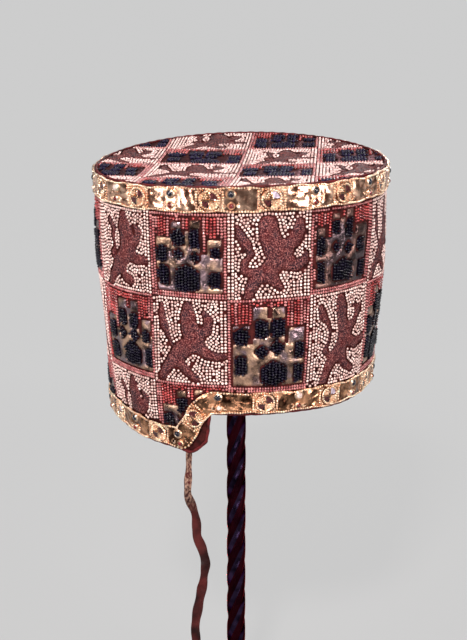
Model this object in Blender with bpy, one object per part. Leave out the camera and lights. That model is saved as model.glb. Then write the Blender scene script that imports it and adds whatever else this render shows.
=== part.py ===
"""A medieval pillbox cap of embroidered cloth with gilt jewelled bands, on a twisted iron stand.

Metres, +Z up. The origin is the middle of the foot's underside, and the wearer's forehead faces -Y.
Angles go round the cap's own axis from the front, positive towards +X, the cap's right in the photo.
"""

from math import ceil, cos, pi, radians, sin, tau

import bmesh
import bpy
import numpy as np
from mathutils import Matrix, Vector

# Stand
FOOT_RADIUS = 0.070
FOOT_THICK = 0.010
FOOT_EDGE = 0.002
BAR_RADIUS = 0.0067
BAR_GROOVE = 0.0014
BAR_LEAD = 0.090
BAR_RIDGES = 4
PAD_RADIUS = 0.062
PAD_DEPTH = 0.024

# Cap
CAP_SHIFT = 0.0028
HEM_CLEAR = 0.2638
FOREHEAD = 0.1362
TOP_RADIUS = 0.0942
HEM_RADIUS = 0.0882
BACK_RISE = 0.0195
SIDE_TILT = 0.0020
WALL_THICK = 0.0030
PANEL_THICK = 0.0030
PANEL_SAG = 0.0035
FLAP_DROP = 0.0255
LEFT_STEP_AT = radians(-12.5)
RIGHT_STEP_AT = radians(115.0)

# Gilt bands and what is set on them
BAND_THICK = 0.0012
TOP_BAND = 0.0142
RIM_BAND = 0.0134
BAND_MARGIN = 0.0005
REPEATS = 14
ROUNDEL_RADIUS = 0.0060
ROUNDEL_THICK = 0.0012
COLLET_RADIUS = 0.0023
COLLET_HEIGHT = 0.0011
STONE_TABLE = 0.0011
STONE_HEIGHT = 0.0009
PAIR_SPREAD = 0.0066

# Ribbon
RIBBON_WIDTH = 0.005

# Clearance between pieces that touch, and the fineness of round shapes
GAP = 0.0003
COLUMNS = 60
BAND_STEP = 0.0085

FRONT_EDGE = HEM_CLEAR + FOREHEAD
RISE_POWER = 1.6

# The step in the hem. reach and drop are shares of FLAP_DROP: how far past the step's start, away from
# the forehead, and how far below the forehead's hem.
STEP_EDGE = (
    # reach, drop
    (0.00, 0.00),
    (0.05, 0.45),
    (0.10, 0.73),
    (0.24, 0.88),
    (0.45, 1.04),
    (0.55, 1.06),
)
STEP_BAND = (
    # reach, drop, of the rim band's middle line: two ends of a bend, its corner and the flap's tip
    (-0.24, 0.00),
    (0.17, 0.02),
    (0.40, 0.49),
    (0.69, 0.97),
)

# The flap's hem from the left step round the back to the right one
FLAP_EDGE = (
    # way, drop: shares of the way between the steps and of FLAP_DROP
    (0.03, 0.99),
    (0.09, 0.94),
    (0.17, 0.86),
    (0.27, 0.82),
    (0.50, 0.88),
    (0.75, 0.92),
    (0.92, 0.97),
)

# How far each set piece lies off its even place, to the right, as a share of one repeat. Rows go round
# leftwards from the front.
STRAYS = (
    # top pair, top roundel, rim pair, rim roundel
    (-0.14, 0.07, 0.00, 0.00),
    (0.02, -0.04, -0.17, -0.15),
    (-0.01, 0.02, -0.10, 0.03),
    (0.03, 0.00, 0.02, -0.03),
    (-0.02, 0.03, 0.00, 0.02),
    (0.04, -0.02, -0.03, 0.00),
    (0.00, 0.02, 0.02, -0.02),
    (-0.03, 0.00, 0.00, 0.03),
    (0.02, -0.03, 0.02, 0.00),
    (0.00, 0.02, -0.02, 0.02),
    (-0.04, 0.00, 0.03, -0.02),
    (0.02, -0.02, 0.00, 0.02),
    (0.06, 0.01, -0.02, 0.00),
    (0.02, -0.10, 0.03, 0.02),
)
RIM_START = 0.0142

RIBBON_ROUTE = (
    # x, y, z
    (-0.0294, -0.0778, 0.2364),
    (-0.0295, -0.0780, 0.2300),
    (-0.0297, -0.0788, 0.2223),
    (-0.0302, -0.0796, 0.2150),
    (-0.0303, -0.0800, 0.2080),
    (-0.0279, -0.0798, 0.2016),
    (-0.0258, -0.0790, 0.1955),
    (-0.0250, -0.0782, 0.1897),
    (-0.0249, -0.0780, 0.1840),
    (-0.0246, -0.0784, 0.1789),
    (-0.0216, -0.0794, 0.1717),
    (-0.0197, -0.0800, 0.1638),
    (-0.0198, -0.0800, 0.1590),
    (-0.0206, -0.0794, 0.1535),
    (-0.0220, -0.0788, 0.1437),
    (-0.0237, -0.0788, 0.1346),
    (-0.0257, -0.0794, 0.1233),
    (-0.0262, -0.0798, 0.1160),
    (-0.0259, -0.0796, 0.1091),
    (-0.0252, -0.0790, 0.0990),
)


def clear_scene():
    for thing in list(bpy.data.objects):
        bpy.data.objects.remove(thing)


def finish(name, colour, rough, metal=0.0):
    """A plain shader in one colour, with its roughness and how metallic it is."""
    stuff = bpy.data.materials.new(name)
    stuff.use_nodes = True
    shader = stuff.node_tree.nodes["Principled BSDF"]
    shader.inputs["Base Color"].default_value = (*colour, 1.0)
    shader.inputs["Roughness"].default_value = rough
    shader.inputs["Metallic"].default_value = metal
    return stuff


def embroidery():
    return finish("embroidery", (0.42, 0.22, 0.20), 0.7)


def gilt():
    return finish("gilt", (0.80, 0.56, 0.24), 0.3, 1.0)


def ribbon_silk():
    return finish("ribbon_silk", (0.22, 0.05, 0.04), 0.75)


def dark_iron():
    return finish("dark_iron", (0.05, 0.03, 0.035), 0.45, 0.6)


def pad_felt():
    return finish("pad_felt", (0.30, 0.27, 0.25), 0.9)


def add_solid(name, points, faces, stuff, sharp=35.0):
    """One object from its points and faces, turned outwards and shaded smooth up to the sharp angle."""
    mesh = bpy.data.meshes.new(name)
    mesh.from_pydata([tuple(p) for p in points], [], faces)
    work = bmesh.new()
    work.from_mesh(mesh)
    bmesh.ops.recalc_face_normals(work, faces=work.faces)
    work.to_mesh(mesh)
    work.free()
    mesh.shade_smooth()
    mesh.set_sharp_from_angle(angle=radians(sharp))
    mesh.materials.append(stuff)
    solid = bpy.data.objects.new(name, mesh)
    bpy.context.scene.collection.objects.link(solid)
    return solid


def ring_faces(stations, sides):
    """Faces of a closed ring whose cross-section has some sides at each of its stations."""
    faces = []
    for i in range(stations):
        for j in range(sides):
            a, b = i * sides, (i + 1) % stations * sides
            k = (j + 1) % sides
            faces.append((a + j, a + k, b + k, b + j))
    return faces


def stack_faces(rings, sides):
    """Faces of rings stacked between two end points, which come after the rings' own points."""
    faces = []
    for i in range(rings - 1):
        for j in range(sides):
            a, b = i * sides, (i + 1) * sides
            k = (j + 1) % sides
            faces.append((a + j, a + k, b + k, b + j))
    first, last = rings * sides, rings * sides + 1
    for j in range(sides):
        k = (j + 1) % sides
        faces.append((first, k, j))
        faces.append((last, (rings - 1) * sides + j, (rings - 1) * sides + k))
    return faces


def around(angle, radius, height):
    """A point at an angle, radius and height on the cap's axis."""
    return Vector((CAP_SHIFT + radius * sin(angle), -radius * cos(angle), height))


def rim_height(angle):
    """Height of the cap's top edge, lowest at the forehead and lifted at the back."""
    lift = BACK_RISE * ((1.0 - cos(angle)) / 2.0) ** RISE_POWER
    return FRONT_EDGE + lift + SIDE_TILT * sin(angle)


def wall_radius(height):
    """Outer radius of the wall, which draws in towards the hem."""
    down = max(FRONT_EDGE - height, 0.0) / FOREHEAD
    return TOP_RADIUS - (TOP_RADIUS - HEM_RADIUS) * down**2


def wall_frame(angle, height):
    """Point, outward normal, and rightward and upward directions on the wall's outer face."""
    tiny = 0.0005
    slope = (wall_radius(height + tiny) - wall_radius(height - tiny)) / (2.0 * tiny)
    out = Vector((sin(angle), -cos(angle), 0.0))
    right = Vector((cos(angle), sin(angle), 0.0))
    up = (Vector((0.0, 0.0, 1.0)) + out * slope).normalized()
    return around(angle, wall_radius(height), height), right.cross(up), right, up


def panel_heights(radii, angles):
    """Heights of the top panel, cloth stretched over the top edge and sagging a little inside it."""
    samples = 64
    edge = np.array([rim_height(tau * k / samples) for k in range(samples)])
    waves = np.fft.rfft(edge) / samples
    share = np.asarray(radii) / TOP_RADIUS
    heights = waves[0].real + 0.0 * share
    for n in range(1, 9):
        turned = 2.0 * (waves[n] * np.exp(1j * n * np.asarray(angles))).real
        heights = heights + share**n * turned
    return heights - PANEL_SAG * (1.0 - share**2)


def step_angle(side, reach):
    """Angle of a place on a step: side is -1 for the left step and 1 for the right one."""
    start = LEFT_STEP_AT if side < 0 else RIGHT_STEP_AT
    return start + side * reach * FLAP_DROP / HEM_RADIUS


def hem_table():
    """Angles and heights of the hem's corners, once round from the left step rightwards."""
    forehead = FRONT_EDGE - FOREHEAD
    left = [(step_angle(-1, reach), drop) for reach, drop in reversed(STEP_EDGE)]
    right = [(step_angle(1, reach), drop) for reach, drop in STEP_EDGE]
    start, end = right[-1][0], left[0][0] + tau
    back = [(end + (start - end) * way, drop) for way, drop in reversed(FLAP_EDGE)]
    corners = left + right + back + [(left[0][0] + tau, left[0][1])]
    return [angle for angle, drop in corners], [forehead - drop * FLAP_DROP for angle, drop in corners]


def hem_height(angle):
    angles, heights = hem_table()
    turned = (angle - angles[0]) % tau + angles[0]
    return float(np.interp(turned, angles, heights))


def wall_columns():
    """Angles of the wall's columns: even ones, and each corner of the hem."""
    corners = hem_table()[0][:-1]
    first = corners[0]
    even = [first + tau * k / COLUMNS for k in range(COLUMNS)]
    near = 0.3 * tau / COLUMNS
    kept = [a for a in even if all(abs((a - c + pi) % tau - pi) > near for c in corners)]
    return sorted(kept + corners)


def make_wall(stuff):
    shares = (0.0, 0.2, 0.4, 0.6, 0.8, 1.0)
    columns = wall_columns()
    points = []
    for angle in columns:
        tops = panel_heights([TOP_RADIUS, TOP_RADIUS - WALL_THICK], [angle, angle]) - PANEL_THICK - GAP
        bottom = hem_height(angle)
        outer, inner = [[top + (bottom - top) * share for share in shares] for top in tops]
        points += [around(angle, wall_radius(z), z) for z in outer]
        points += [around(angle, wall_radius(z) - WALL_THICK, z) for z in reversed(inner)]
    return add_solid("crown_wall", points, ring_faces(len(columns), 2 * len(shares)), stuff)


def panel_points(shares, radius, drop):
    """Rings of points that follow the top panel from its middle out, at some drop below its face."""
    angles = [tau * k / COLUMNS for k in range(COLUMNS)]
    rings = []
    for share in shares:
        heights = panel_heights([share * radius] * COLUMNS, angles)
        rings.append([around(a, share * radius, z - drop) for a, z in zip(angles, heights)])
    return rings


def panel_middle(drop):
    return around(0.0, 0.0, float(panel_heights([0.0], [0.0])[0]) - drop)


def make_top(stuff):
    shares = (0.25, 0.5, 0.75, 1.0)
    upper = panel_points(shares, TOP_RADIUS, 0.0)
    lower = panel_points(shares, TOP_RADIUS, PANEL_THICK)
    rings = lower + upper[::-1]
    points = [p for ring in rings for p in ring] + [panel_middle(PANEL_THICK), panel_middle(0.0)]
    return add_solid("crown_top", points, stack_faces(len(rings), COLUMNS), stuff)


def strip_section(edges, lift):
    """Four corners of a strip's cross-section, from the angle and height of its two edges."""
    corners = []
    for (angle, height), far in ((edges[0], 0), (edges[1], 0), (edges[1], 1), (edges[0], 1)):
        point, out, right, up = wall_frame(angle, height)
        corners.append(point + out * (lift + far * BAND_THICK))
    return corners


def top_band_stations():
    sections = []
    for k in range(COLUMNS):
        angle = tau * k / COLUMNS
        upper = rim_height(angle)
        sections.append(strip_section(((angle, upper), (angle, upper - TOP_BAND)), GAP))
    return sections


def rim_path():
    """The rim band's middle line as angles and heights, once round, close enough for a smooth strip."""
    middle = RIM_BAND / 2.0 + BAND_MARGIN
    forehead = FRONT_EDGE - FOREHEAD + middle

    def step(side):
        start, bend, end, tip = [(step_angle(side, r), forehead - d * FLAP_DROP) for r, d in STEP_BAND]
        turn = []
        for t in (0.0, 0.2, 0.4, 0.6, 0.8, 1.0):
            a, b, c = (1 - t) ** 2, 2 * t * (1 - t), t**2
            turn.append(tuple(a * p + b * q + c * r for p, q, r in zip(start, bend, end)))
        leg = tuple((p + q) / 2.0 for p, q in zip(end, tip))
        return turn + [leg, tip]

    left, right = step(-1), step(1)
    count = ceil((right[0][0] - left[0][0]) * HEM_RADIUS / BAND_STEP)
    front = [left[0][0] + (right[0][0] - left[0][0]) * k / count for k in range(1, count)]
    start, end = right[-1][0], left[-1][0] + tau
    count = ceil((end - start) * HEM_RADIUS / BAND_STEP)
    back = [start + (end - start) * k / count for k in range(1, count)]
    path = left[::-1] + [(a, forehead) for a in front] + right
    return path + [(a, hem_height(a) + middle) for a in back]


def flat_path(path):
    """The path unrolled: lengths round the hem and heights, with where it comes back to its start."""
    flat = [Vector((angle * HEM_RADIUS, height)) for angle, height in path]
    return flat, flat[0] + Vector((tau * HEM_RADIUS, 0.0))


def rim_band_stations():
    """Cross-sections of the rim band, mitred where its middle line turns."""
    path = rim_path()
    flat, again = flat_path(path)
    turn = Vector((tau * HEM_RADIUS, 0.0))
    sections = []
    for k, here in enumerate(flat):
        before = flat[k - 1] - (turn if k == 0 else Vector((0.0, 0.0)))
        after = flat[k + 1] if k + 1 < len(flat) else again
        first, second = (here - before).normalized(), (after - here).normalized()
        along = (first + second).normalized()
        across = Vector((-along.y, along.x)) * (RIM_BAND / 2.0 / along.dot(first))
        edges = [here + across, here - across]
        sections.append(strip_section([(e.x / HEM_RADIUS, e.y) for e in edges], GAP))
    return sections


def top_place(share):
    """Angle, height and lean of a place on the top band, at a share of the way round."""
    angle = tau * share
    return angle, rim_height(angle) - TOP_BAND / 2.0, 0.0


def rim_place(share):
    """Angle, height and lean of a place on the rim band, at a share of its length from the front."""
    flat, again = flat_path(rim_path())
    flat = flat + [again]
    lengths = [0.0]
    for before, after in zip(flat, flat[1:]):
        lengths.append(lengths[-1] + (after - before).length)
    xs, ys = [p.x for p in flat], [p.y for p in flat]
    front = float(np.interp(0.0, xs[: len(xs) // 2], lengths[: len(xs) // 2]))
    at = (front + RIM_START + share * lengths[-1]) % lengths[-1]
    near = RIM_BAND / 4.0
    places = [min(max(at + d, 0.0), lengths[-1]) for d in (-near, 0.0, near)]
    x = np.interp(places, lengths, xs)
    y = np.interp(places, lengths, ys)
    lean = float(np.arctan2(y[2] - y[0], x[2] - x[0]))
    return float(x[1]) / HEM_RADIUS, float(y[1]), lean


def seat(place, sideways, lift):
    """Matrix of a piece set on a band: its own +Z points out, and sideways slides it across the band."""
    angle, height, lean = place
    point, out, right, up = wall_frame(angle, height)
    along = right * cos(lean) + up * sin(lean)
    across = out.cross(along)
    spot = point + across * sideways + out * lift
    return Matrix.Translation(spot) @ Matrix((along, across, out)).transposed().to_4x4()


def turned(profile, sides, start):
    """Points and faces of a turned piece whose profile gives radii and heights from its base up."""
    points = []
    for radius, height in profile:
        for k in range(sides):
            angle = start + tau * k / sides
            points.append(Vector((radius * cos(angle), radius * sin(angle), height)))
    points += [Vector((0.0, 0.0, profile[0][1])), Vector((0.0, 0.0, profile[-1][1]))]
    return points, stack_faces(len(profile), sides)


def make_collets(name, places):
    """All the collets of one band with their stones, a pair at each place, as one mesh to fuse on."""
    sides = 8
    base = -BAND_THICK / 2.0
    table = COLLET_HEIGHT + STONE_HEIGHT
    profile = ((COLLET_RADIUS, base), (COLLET_RADIUS, COLLET_HEIGHT), (STONE_TABLE, table))
    shape, sheet = turned(profile, sides, pi / sides)
    points, faces = [], []
    for place in places:
        for side in (1, -1):
            set_at = seat(place, side * PAIR_SPREAD / 2.0, GAP + BAND_THICK)
            first = len(points)
            points += [set_at @ p for p in shape]
            faces += [tuple(first + i for i in face) for face in sheet]
    collets = add_solid(name, points, faces, None)
    collets.hide_render = True
    collets.display_type = "WIRE"
    return collets


def make_band(name, sections, places, stuff):
    points = [p for section in sections for p in section]
    band = add_solid(name, points, ring_faces(len(sections), 4), stuff)
    fuse = band.modifiers.new("collets", "BOOLEAN")
    fuse.operation = "UNION"
    fuse.object = make_collets(name + "_collets", places)
    return band


def make_roundel(name, place, stuff):
    """A low round plate with a sloped edge, soldered flat on its band."""
    sides = 12
    slope = ROUNDEL_THICK * 0.8
    profile = (
        (ROUNDEL_RADIUS, 0.0),
        (ROUNDEL_RADIUS, ROUNDEL_THICK - slope),
        (ROUNDEL_RADIUS - slope, ROUNDEL_THICK),
    )
    points, faces = turned(profile, sides, pi / sides)
    roundel = add_solid(name, points, faces, stuff)
    roundel.matrix_world = seat(place, 0.0, 2.0 * GAP + BAND_THICK)
    return roundel


def make_set_pieces(stuff):
    """The top and rim bands with their pairs of stones, and a roundel between each two pairs."""
    rows = [STRAYS[k % len(STRAYS)] for k in range(REPEATS)]
    pairs = [top_place((row[0] - k) / REPEATS) for k, row in enumerate(rows)]
    make_band("top_band", top_band_stations(), pairs, stuff)
    pairs = [rim_place((row[2] + 0.5 - k) / REPEATS) for k, row in enumerate(rows)]
    make_band("rim_band", rim_band_stations(), pairs, stuff)
    for k, row in enumerate(rows):
        make_roundel(f"top_roundel_{k + 1:02d}", top_place((row[1] - k - 0.5) / REPEATS), stuff)
        make_roundel(f"rim_roundel_{k + 1:02d}", rim_place((row[3] - k) / REPEATS), stuff)


def smooth_route(route, spacing):
    """Points at an even spacing on one smooth curve through the route."""
    knots = [Vector(p) for p in route]
    ends = [2.0 * knots[0] - knots[1]] + knots + [2.0 * knots[-1] - knots[-2]]
    fine = []
    for a, b, c, d in zip(ends, ends[1:], ends[2:], ends[3:]):
        for t in (0.0, 0.25, 0.5, 0.75):
            bend = 2.0 * a - 5.0 * b + 4.0 * c - d
            twist = 3.0 * b - a - 3.0 * c + d
            fine.append(0.5 * (2.0 * b + (c - a) * t + bend * t**2 + twist * t**3))
    fine.append(knots[-1])
    lengths = [0.0]
    for before, after in zip(fine, fine[1:]):
        lengths.append(lengths[-1] + (after - before).length)
    count = round(lengths[-1] / spacing)
    places = [lengths[-1] * k / count for k in range(count + 1)]
    columns = [np.interp(places, lengths, [p[i] for p in fine]) for i in range(3)]
    return [Vector(p) for p in zip(*columns)]


def make_ribbon(stuff):
    points = smooth_route(RIBBON_ROUTE, 2.0 * RIBBON_WIDTH)
    line = bpy.data.curves.new("ribbon", "CURVE")
    line.dimensions = "3D"
    line.bevel_depth = RIBBON_WIDTH / 2.0
    line.bevel_resolution = 2
    line.use_fill_caps = True
    strand = line.splines.new("POLY")
    strand.points.add(len(points) - 1)
    for knot, point in zip(strand.points, points):
        knot.co = (*point, 1.0)
    line.materials.append(stuff)
    ribbon = bpy.data.objects.new("ribbon", line)
    bpy.context.scene.collection.objects.link(ribbon)
    return ribbon


def make_pad(stuff):
    """A felt-covered block under the top panel, flat below and shaped to the panel above."""
    seat_drop = PANEL_THICK + GAP
    base = FRONT_EDGE - PAD_DEPTH
    upper = panel_points((1.0, 0.6), PAD_RADIUS, seat_drop)
    lower = [around(tau * k / COLUMNS, PAD_RADIUS, base) for k in range(COLUMNS)]
    rings = [lower] + upper
    points = [p for ring in rings for p in ring] + [around(0.0, 0.0, base), panel_middle(seat_drop)]
    return add_solid("pad", points, stack_faces(len(rings), COLUMNS), stuff)


def make_post(stuff):
    """The twisted bar: a cross-section with ridges and grooves that turns as it climbs."""
    low = FOOT_THICK + GAP
    high = FRONT_EDGE - PAD_DEPTH - GAP
    sides = 2 * BAR_RIDGES
    steps = ceil((high - low) / BAR_LEAD * 16)
    points = []
    for i in range(steps + 1):
        height = low + (high - low) * i / steps
        twist = tau * (height - low) / BAR_LEAD
        for j in range(sides):
            radius = BAR_RADIUS - BAR_GROOVE * (j % 2)
            angle = twist + tau * j / sides
            points.append(Vector((radius * cos(angle), radius * sin(angle), height)))
    points += [Vector((0.0, 0.0, low)), Vector((0.0, 0.0, high))]
    return add_solid("post", points, stack_faces(steps + 1, sides), stuff)


def make_foot(stuff):
    profile = (
        (FOOT_RADIUS, 0.0),
        (FOOT_RADIUS, FOOT_THICK - FOOT_EDGE),
        (FOOT_RADIUS - FOOT_EDGE, FOOT_THICK),
    )
    points, faces = turned(profile, 48, 0.0)
    return add_solid("foot", points, faces, stuff)


def main():
    clear_scene()
    cloth, gold, iron = embroidery(), gilt(), dark_iron()
    make_wall(cloth)
    make_top(cloth)
    make_set_pieces(gold)
    make_ribbon(ribbon_silk())
    make_pad(pad_felt())
    make_post(iron)
    make_foot(iron)


main()
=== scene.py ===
from math import ceil, cos, pi, radians, sin, tau

import bpy
import numpy as np
from mathutils import Matrix, Vector


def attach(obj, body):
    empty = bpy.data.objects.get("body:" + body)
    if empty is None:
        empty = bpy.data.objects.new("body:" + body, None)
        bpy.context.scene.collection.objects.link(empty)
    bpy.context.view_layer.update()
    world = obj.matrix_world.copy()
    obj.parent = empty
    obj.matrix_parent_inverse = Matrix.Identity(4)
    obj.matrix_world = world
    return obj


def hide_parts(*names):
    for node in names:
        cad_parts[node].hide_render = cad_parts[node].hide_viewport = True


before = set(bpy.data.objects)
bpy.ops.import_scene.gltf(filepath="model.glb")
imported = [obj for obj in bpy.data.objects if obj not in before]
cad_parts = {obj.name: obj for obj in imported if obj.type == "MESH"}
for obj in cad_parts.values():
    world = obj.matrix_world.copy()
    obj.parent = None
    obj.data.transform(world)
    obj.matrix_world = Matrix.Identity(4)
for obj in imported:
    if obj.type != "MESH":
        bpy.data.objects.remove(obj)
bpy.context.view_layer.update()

# The camera stands a little above the cap and in front of it, and looks slightly down, so that the
# jewelled edge, the dished top and the underside of the stepped hem all show.
VIEW_FROM = (-0.0019, -0.6584, 0.4619)
VIEW_DOWN = radians(13.8)
PICTURE_HEIGHT = 24.0
LENS = 37.63

view = bpy.data.cameras.new("view")
view.sensor_fit = "VERTICAL"
view.sensor_height = PICTURE_HEIGHT
view.lens = LENS
view.clip_start = 0.01
camera = bpy.data.objects.new("view", view)
camera.location = VIEW_FROM
camera.rotation_euler = (pi / 2.0 - VIEW_DOWN, 0.0, 0.0)
bpy.context.scene.collection.objects.link(camera)
bpy.context.scene.camera = camera

# The tie: a narrow silk ribbon, worn and creased, that hangs from the low corner of the hem. It is
# woven flat with a firm selvedge down each side, and its end is a raw cut.
RIBBON_WIDTH = 0.005
RIBBON_THICK = 0.0006
RIBBON_STEP = 0.0011
RIBBON_NECK = 0.68
RIBBON_SPREAD = 12.0
RIBBON_FULL = 1.20
RIBBON_CUP = 0.00035
RIBBON_CREASE = 0.00030
RIBBON_WAVER = (0.09, 410.0, 0.5)
RIBBON_TURNS = (
    # size of the turn, radians per metre along the ribbon, start
    (0.35, 95.0, 0.0),
    (0.22, 231.0, 1.0),
)
SELVEDGE = 0.92
THREADS_BARE = (0.196, 0.212)
PATCH_EDGES = (0.36, 0.64)
COAT_ROUGH = 0.08
EVENLY = (1.0, 1.0, 1.0)
RIBBON_ROUTE = (
    # x, y, z
    (-0.0294, -0.0778, 0.2364),
    (-0.0295, -0.0780, 0.2300),
    (-0.0297, -0.0788, 0.2223),
    (-0.0302, -0.0796, 0.2150),
    (-0.0303, -0.0800, 0.2080),
    (-0.0279, -0.0798, 0.2016),
    (-0.0258, -0.0790, 0.1955),
    (-0.0250, -0.0782, 0.1897),
    (-0.0249, -0.0780, 0.1840),
    (-0.0246, -0.0784, 0.1789),
    (-0.0216, -0.0794, 0.1717),
    (-0.0197, -0.0800, 0.1638),
    (-0.0198, -0.0800, 0.1590),
    (-0.0206, -0.0794, 0.1535),
    (-0.0220, -0.0788, 0.1437),
    (-0.0237, -0.0788, 0.1346),
    (-0.0257, -0.0794, 0.1233),
    (-0.0262, -0.0798, 0.1160),
    (-0.0259, -0.0796, 0.1091),
    (-0.0252, -0.0790, 0.0990),
)


def fill(stuff, node, sockets):
    """Gives each named socket of a node its value, or a link from another node."""
    for name, value in sockets.items():
        if isinstance(value, bpy.types.NodeSocket):
            stuff.node_tree.links.new(value, node.inputs[name])
        else:
            node.inputs[name].default_value = value
    return node


def add_node(stuff, kind, **sockets):
    """Adds a shader node; in the names of its sockets a space is written as an underline."""
    node = stuff.node_tree.nodes.new("ShaderNode" + kind)
    if kind == "Mix":
        node.data_type = "RGBA"
    return fill(stuff, node, {name.replace("_", " "): value for name, value in sockets.items()})


def shader_of(stuff):
    return stuff.node_tree.nodes["Principled BSDF"]


def ranged(stuff, value, low, high, least=0.0, most=1.0):
    """A value taken from one range to another and held at both ends."""
    node = add_node(stuff, "MapRange", Value=value, From_Min=low, From_Max=high, To_Min=least, To_Max=most)
    return node.outputs["Result"]


def blended(stuff, share, first, last):
    """A colour that goes from the first to the last as the share goes from 0 to 1."""
    return add_node(stuff, "Mix", Factor=share, A=first, B=last).outputs["Result"]


def on_piece(stuff, stretch=None):
    """Places on the piece, for a texture to lie on; it is longer along an axis where stretch is under 1."""
    place = add_node(stuff, "TexCoord").outputs["Object"]
    if stretch is None:
        return place
    return add_node(stuff, "Mapping", Vector=place, Scale=stretch).outputs["Vector"]


def shades_of(name, dark, light, patch, rough, metal=0.0, shine=0.5, coat=0.0):
    """A finish that drifts between two shades in patches of some size; rough is its least and most."""
    stuff = bpy.data.materials.new(name)
    stuff.use_nodes = True
    drift = add_node(stuff, "TexNoise", Vector=on_piece(stuff), Scale=1.0 / patch, Detail=5.0).outputs["Fac"]
    ramp = add_node(stuff, "ValToRGB", Fac=drift)
    ramp.name = "shades"
    for stop, edge, shade in zip(ramp.color_ramp.elements, PATCH_EDGES, (dark, light)):
        stop.position = edge
        stop.color = (*shade, 1.0)
    fill(stuff, shader_of(stuff), {
        "Base Color": ramp.outputs["Color"],
        "Roughness": ranged(stuff, drift, *PATCH_EDGES, *rough),
        "Metallic": metal,
        "Specular IOR Level": shine,
        "Coat Weight": coat,
        "Coat Roughness": COAT_ROUGH,
    })
    return stuff


def grained(stuff, *grains, kind="TexNoise"):
    """Adds relief to a finish; each grain is a size and a depth, and a stretch where it has one."""
    normal = shader_of(stuff).inputs["Normal"]
    for size, depth, *stretch in grains:
        place = on_piece(stuff, *(stretch or [EVENLY]))
        grain = add_node(stuff, kind, Vector=place, Scale=1.0 / size)
        height = grain.outputs["Distance" if kind == "TexVoronoi" else "Fac"]
        relief = add_node(stuff, "Bump", Height=height, Distance=depth)
        if normal.is_linked:
            fill(stuff, relief, {"Normal": normal.links[0].from_socket})
        stuff.node_tree.links.new(relief.outputs["Normal"], normal)
    return stuff


def specked(stuff, size, colour, least, most, stretch=EVENLY, above=None):
    """Adds specks of another shade to a finish: worn thread on the ribbon, lilac patches on the gilt
    membrane, and on the lions' silk pale thread that also paints its small glints; where above is given they
    thin out between two heights.
    """
    threads = add_node(stuff, "TexNoise", Vector=on_piece(stuff, stretch), Scale=1.0 / size, Detail=2.0)
    full = 1.0
    if above:
        height = add_node(stuff, "SeparateXYZ", Vector=on_piece(stuff)).outputs["Z"]
        full = ranged(stuff, height, *above)
    share = ranged(stuff, threads.outputs["Fac"], least, most, 0.0, full)
    shades = stuff.node_tree.nodes["shades"].outputs["Color"]
    fill(stuff, shader_of(stuff), {"Base Color": blended(stuff, share, shades, (*colour, 1.0))})
    return stuff


def add_piece(name, points, faces, stuff, sharp=40.0):
    """One piece from its points and faces, shaded smooth up to the sharp angle."""
    mesh = bpy.data.meshes.new(name)
    mesh.from_pydata([tuple(p) for p in points], [], faces)
    mesh.materials.append(stuff)
    mesh.shade_smooth()
    mesh.set_sharp_from_angle(angle=radians(sharp))
    piece = bpy.data.objects.new(name, mesh)
    bpy.context.scene.collection.objects.link(piece)
    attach(piece, "root")
    return piece


def tube_faces(stations, sides, closed=False):
    """Faces of a tube whose cross-section has some sides at each of its stations."""
    faces = []
    for i in range(stations if closed else stations - 1):
        a, b = i * sides, (i + 1) % stations * sides
        for j in range(sides):
            k = (j + 1) % sides
            faces.append((a + j, a + k, b + k, b + j))
    if not closed:
        faces.append(tuple(range(sides))[::-1])
        faces.append(tuple((stations - 1) * sides + j for j in range(sides)))
    return faces


def smooth_route(route, spacing):
    """Points at an even spacing on one smooth curve through the route, and the curve's length."""
    knots = [Vector(p) for p in route]
    ends = [2.0 * knots[0] - knots[1]] + knots + [2.0 * knots[-1] - knots[-2]]
    fine = []
    for a, b, c, d in zip(ends, ends[1:], ends[2:], ends[3:]):
        bend = 2.0 * a - 5.0 * b + 4.0 * c - d
        twist = 3.0 * b - a - 3.0 * c + d
        for t in (0.0, 0.25, 0.5, 0.75):
            fine.append(0.5 * (2.0 * b + (c - a) * t + bend * t**2 + twist * t**3))
    fine.append(knots[-1])
    lengths = [0.0]
    for before, after in zip(fine, fine[1:]):
        lengths.append(lengths[-1] + (after - before).length)
    count = round(lengths[-1] / spacing)
    places = [lengths[-1] * k / count for k in range(count + 1)]
    columns = [np.interp(places, lengths, [p[i] for p in fine]) for i in range(3)]
    return [Vector(p) for p in zip(*columns)], lengths[-1]


def wave(along, size, pace, start):
    return size * sin(along * pace + start)


def ribbon_points(line):
    """The ribbon's skin: cupped, creased across, and twisted a little to and fro."""
    across = (-1.0, -SELVEDGE, -0.6, -0.2, 0.2, 0.6, SELVEDGE, 1.0)
    points = []
    for k, spot in enumerate(line):
        ahead = (line[min(k + 1, len(line) - 1)] - line[max(k - 1, 0)]).normalized()
        down = k * RIBBON_STEP
        turn = sum(wave(down, *turns) for turns in RIBBON_TURNS)
        side = Vector((cos(turn), sin(turn), 0.0))
        side = (side - ahead * side.dot(ahead)).normalized()
        face = side.cross(ahead)
        wide = min(RIBBON_NECK + down * RIBBON_SPREAD, RIBBON_FULL) + wave(down, *RIBBON_WAVER)
        crease = RIBBON_CREASE * sin(down * 640.0 + 2.0 * sin(down * 70.0)) * sin(down * 130.0 + 2.0)
        for lift in (1.0, -1.0):
            for share in across if lift > 0.0 else across[::-1]:
                cup = RIBBON_CUP * share**2 + crease * (1.0 - 0.5 * abs(share))
                firm = 1.25 if abs(share) == SELVEDGE else 1.0 - 0.6 * (abs(share) == 1.0)
                rise = lift * (RIBBON_THICK / 2.0 * firm) - cup
                points.append(spot + side * (share * wide * RIBBON_WIDTH / 2.0) + face * rise)
    return points, 2 * len(across)


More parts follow.
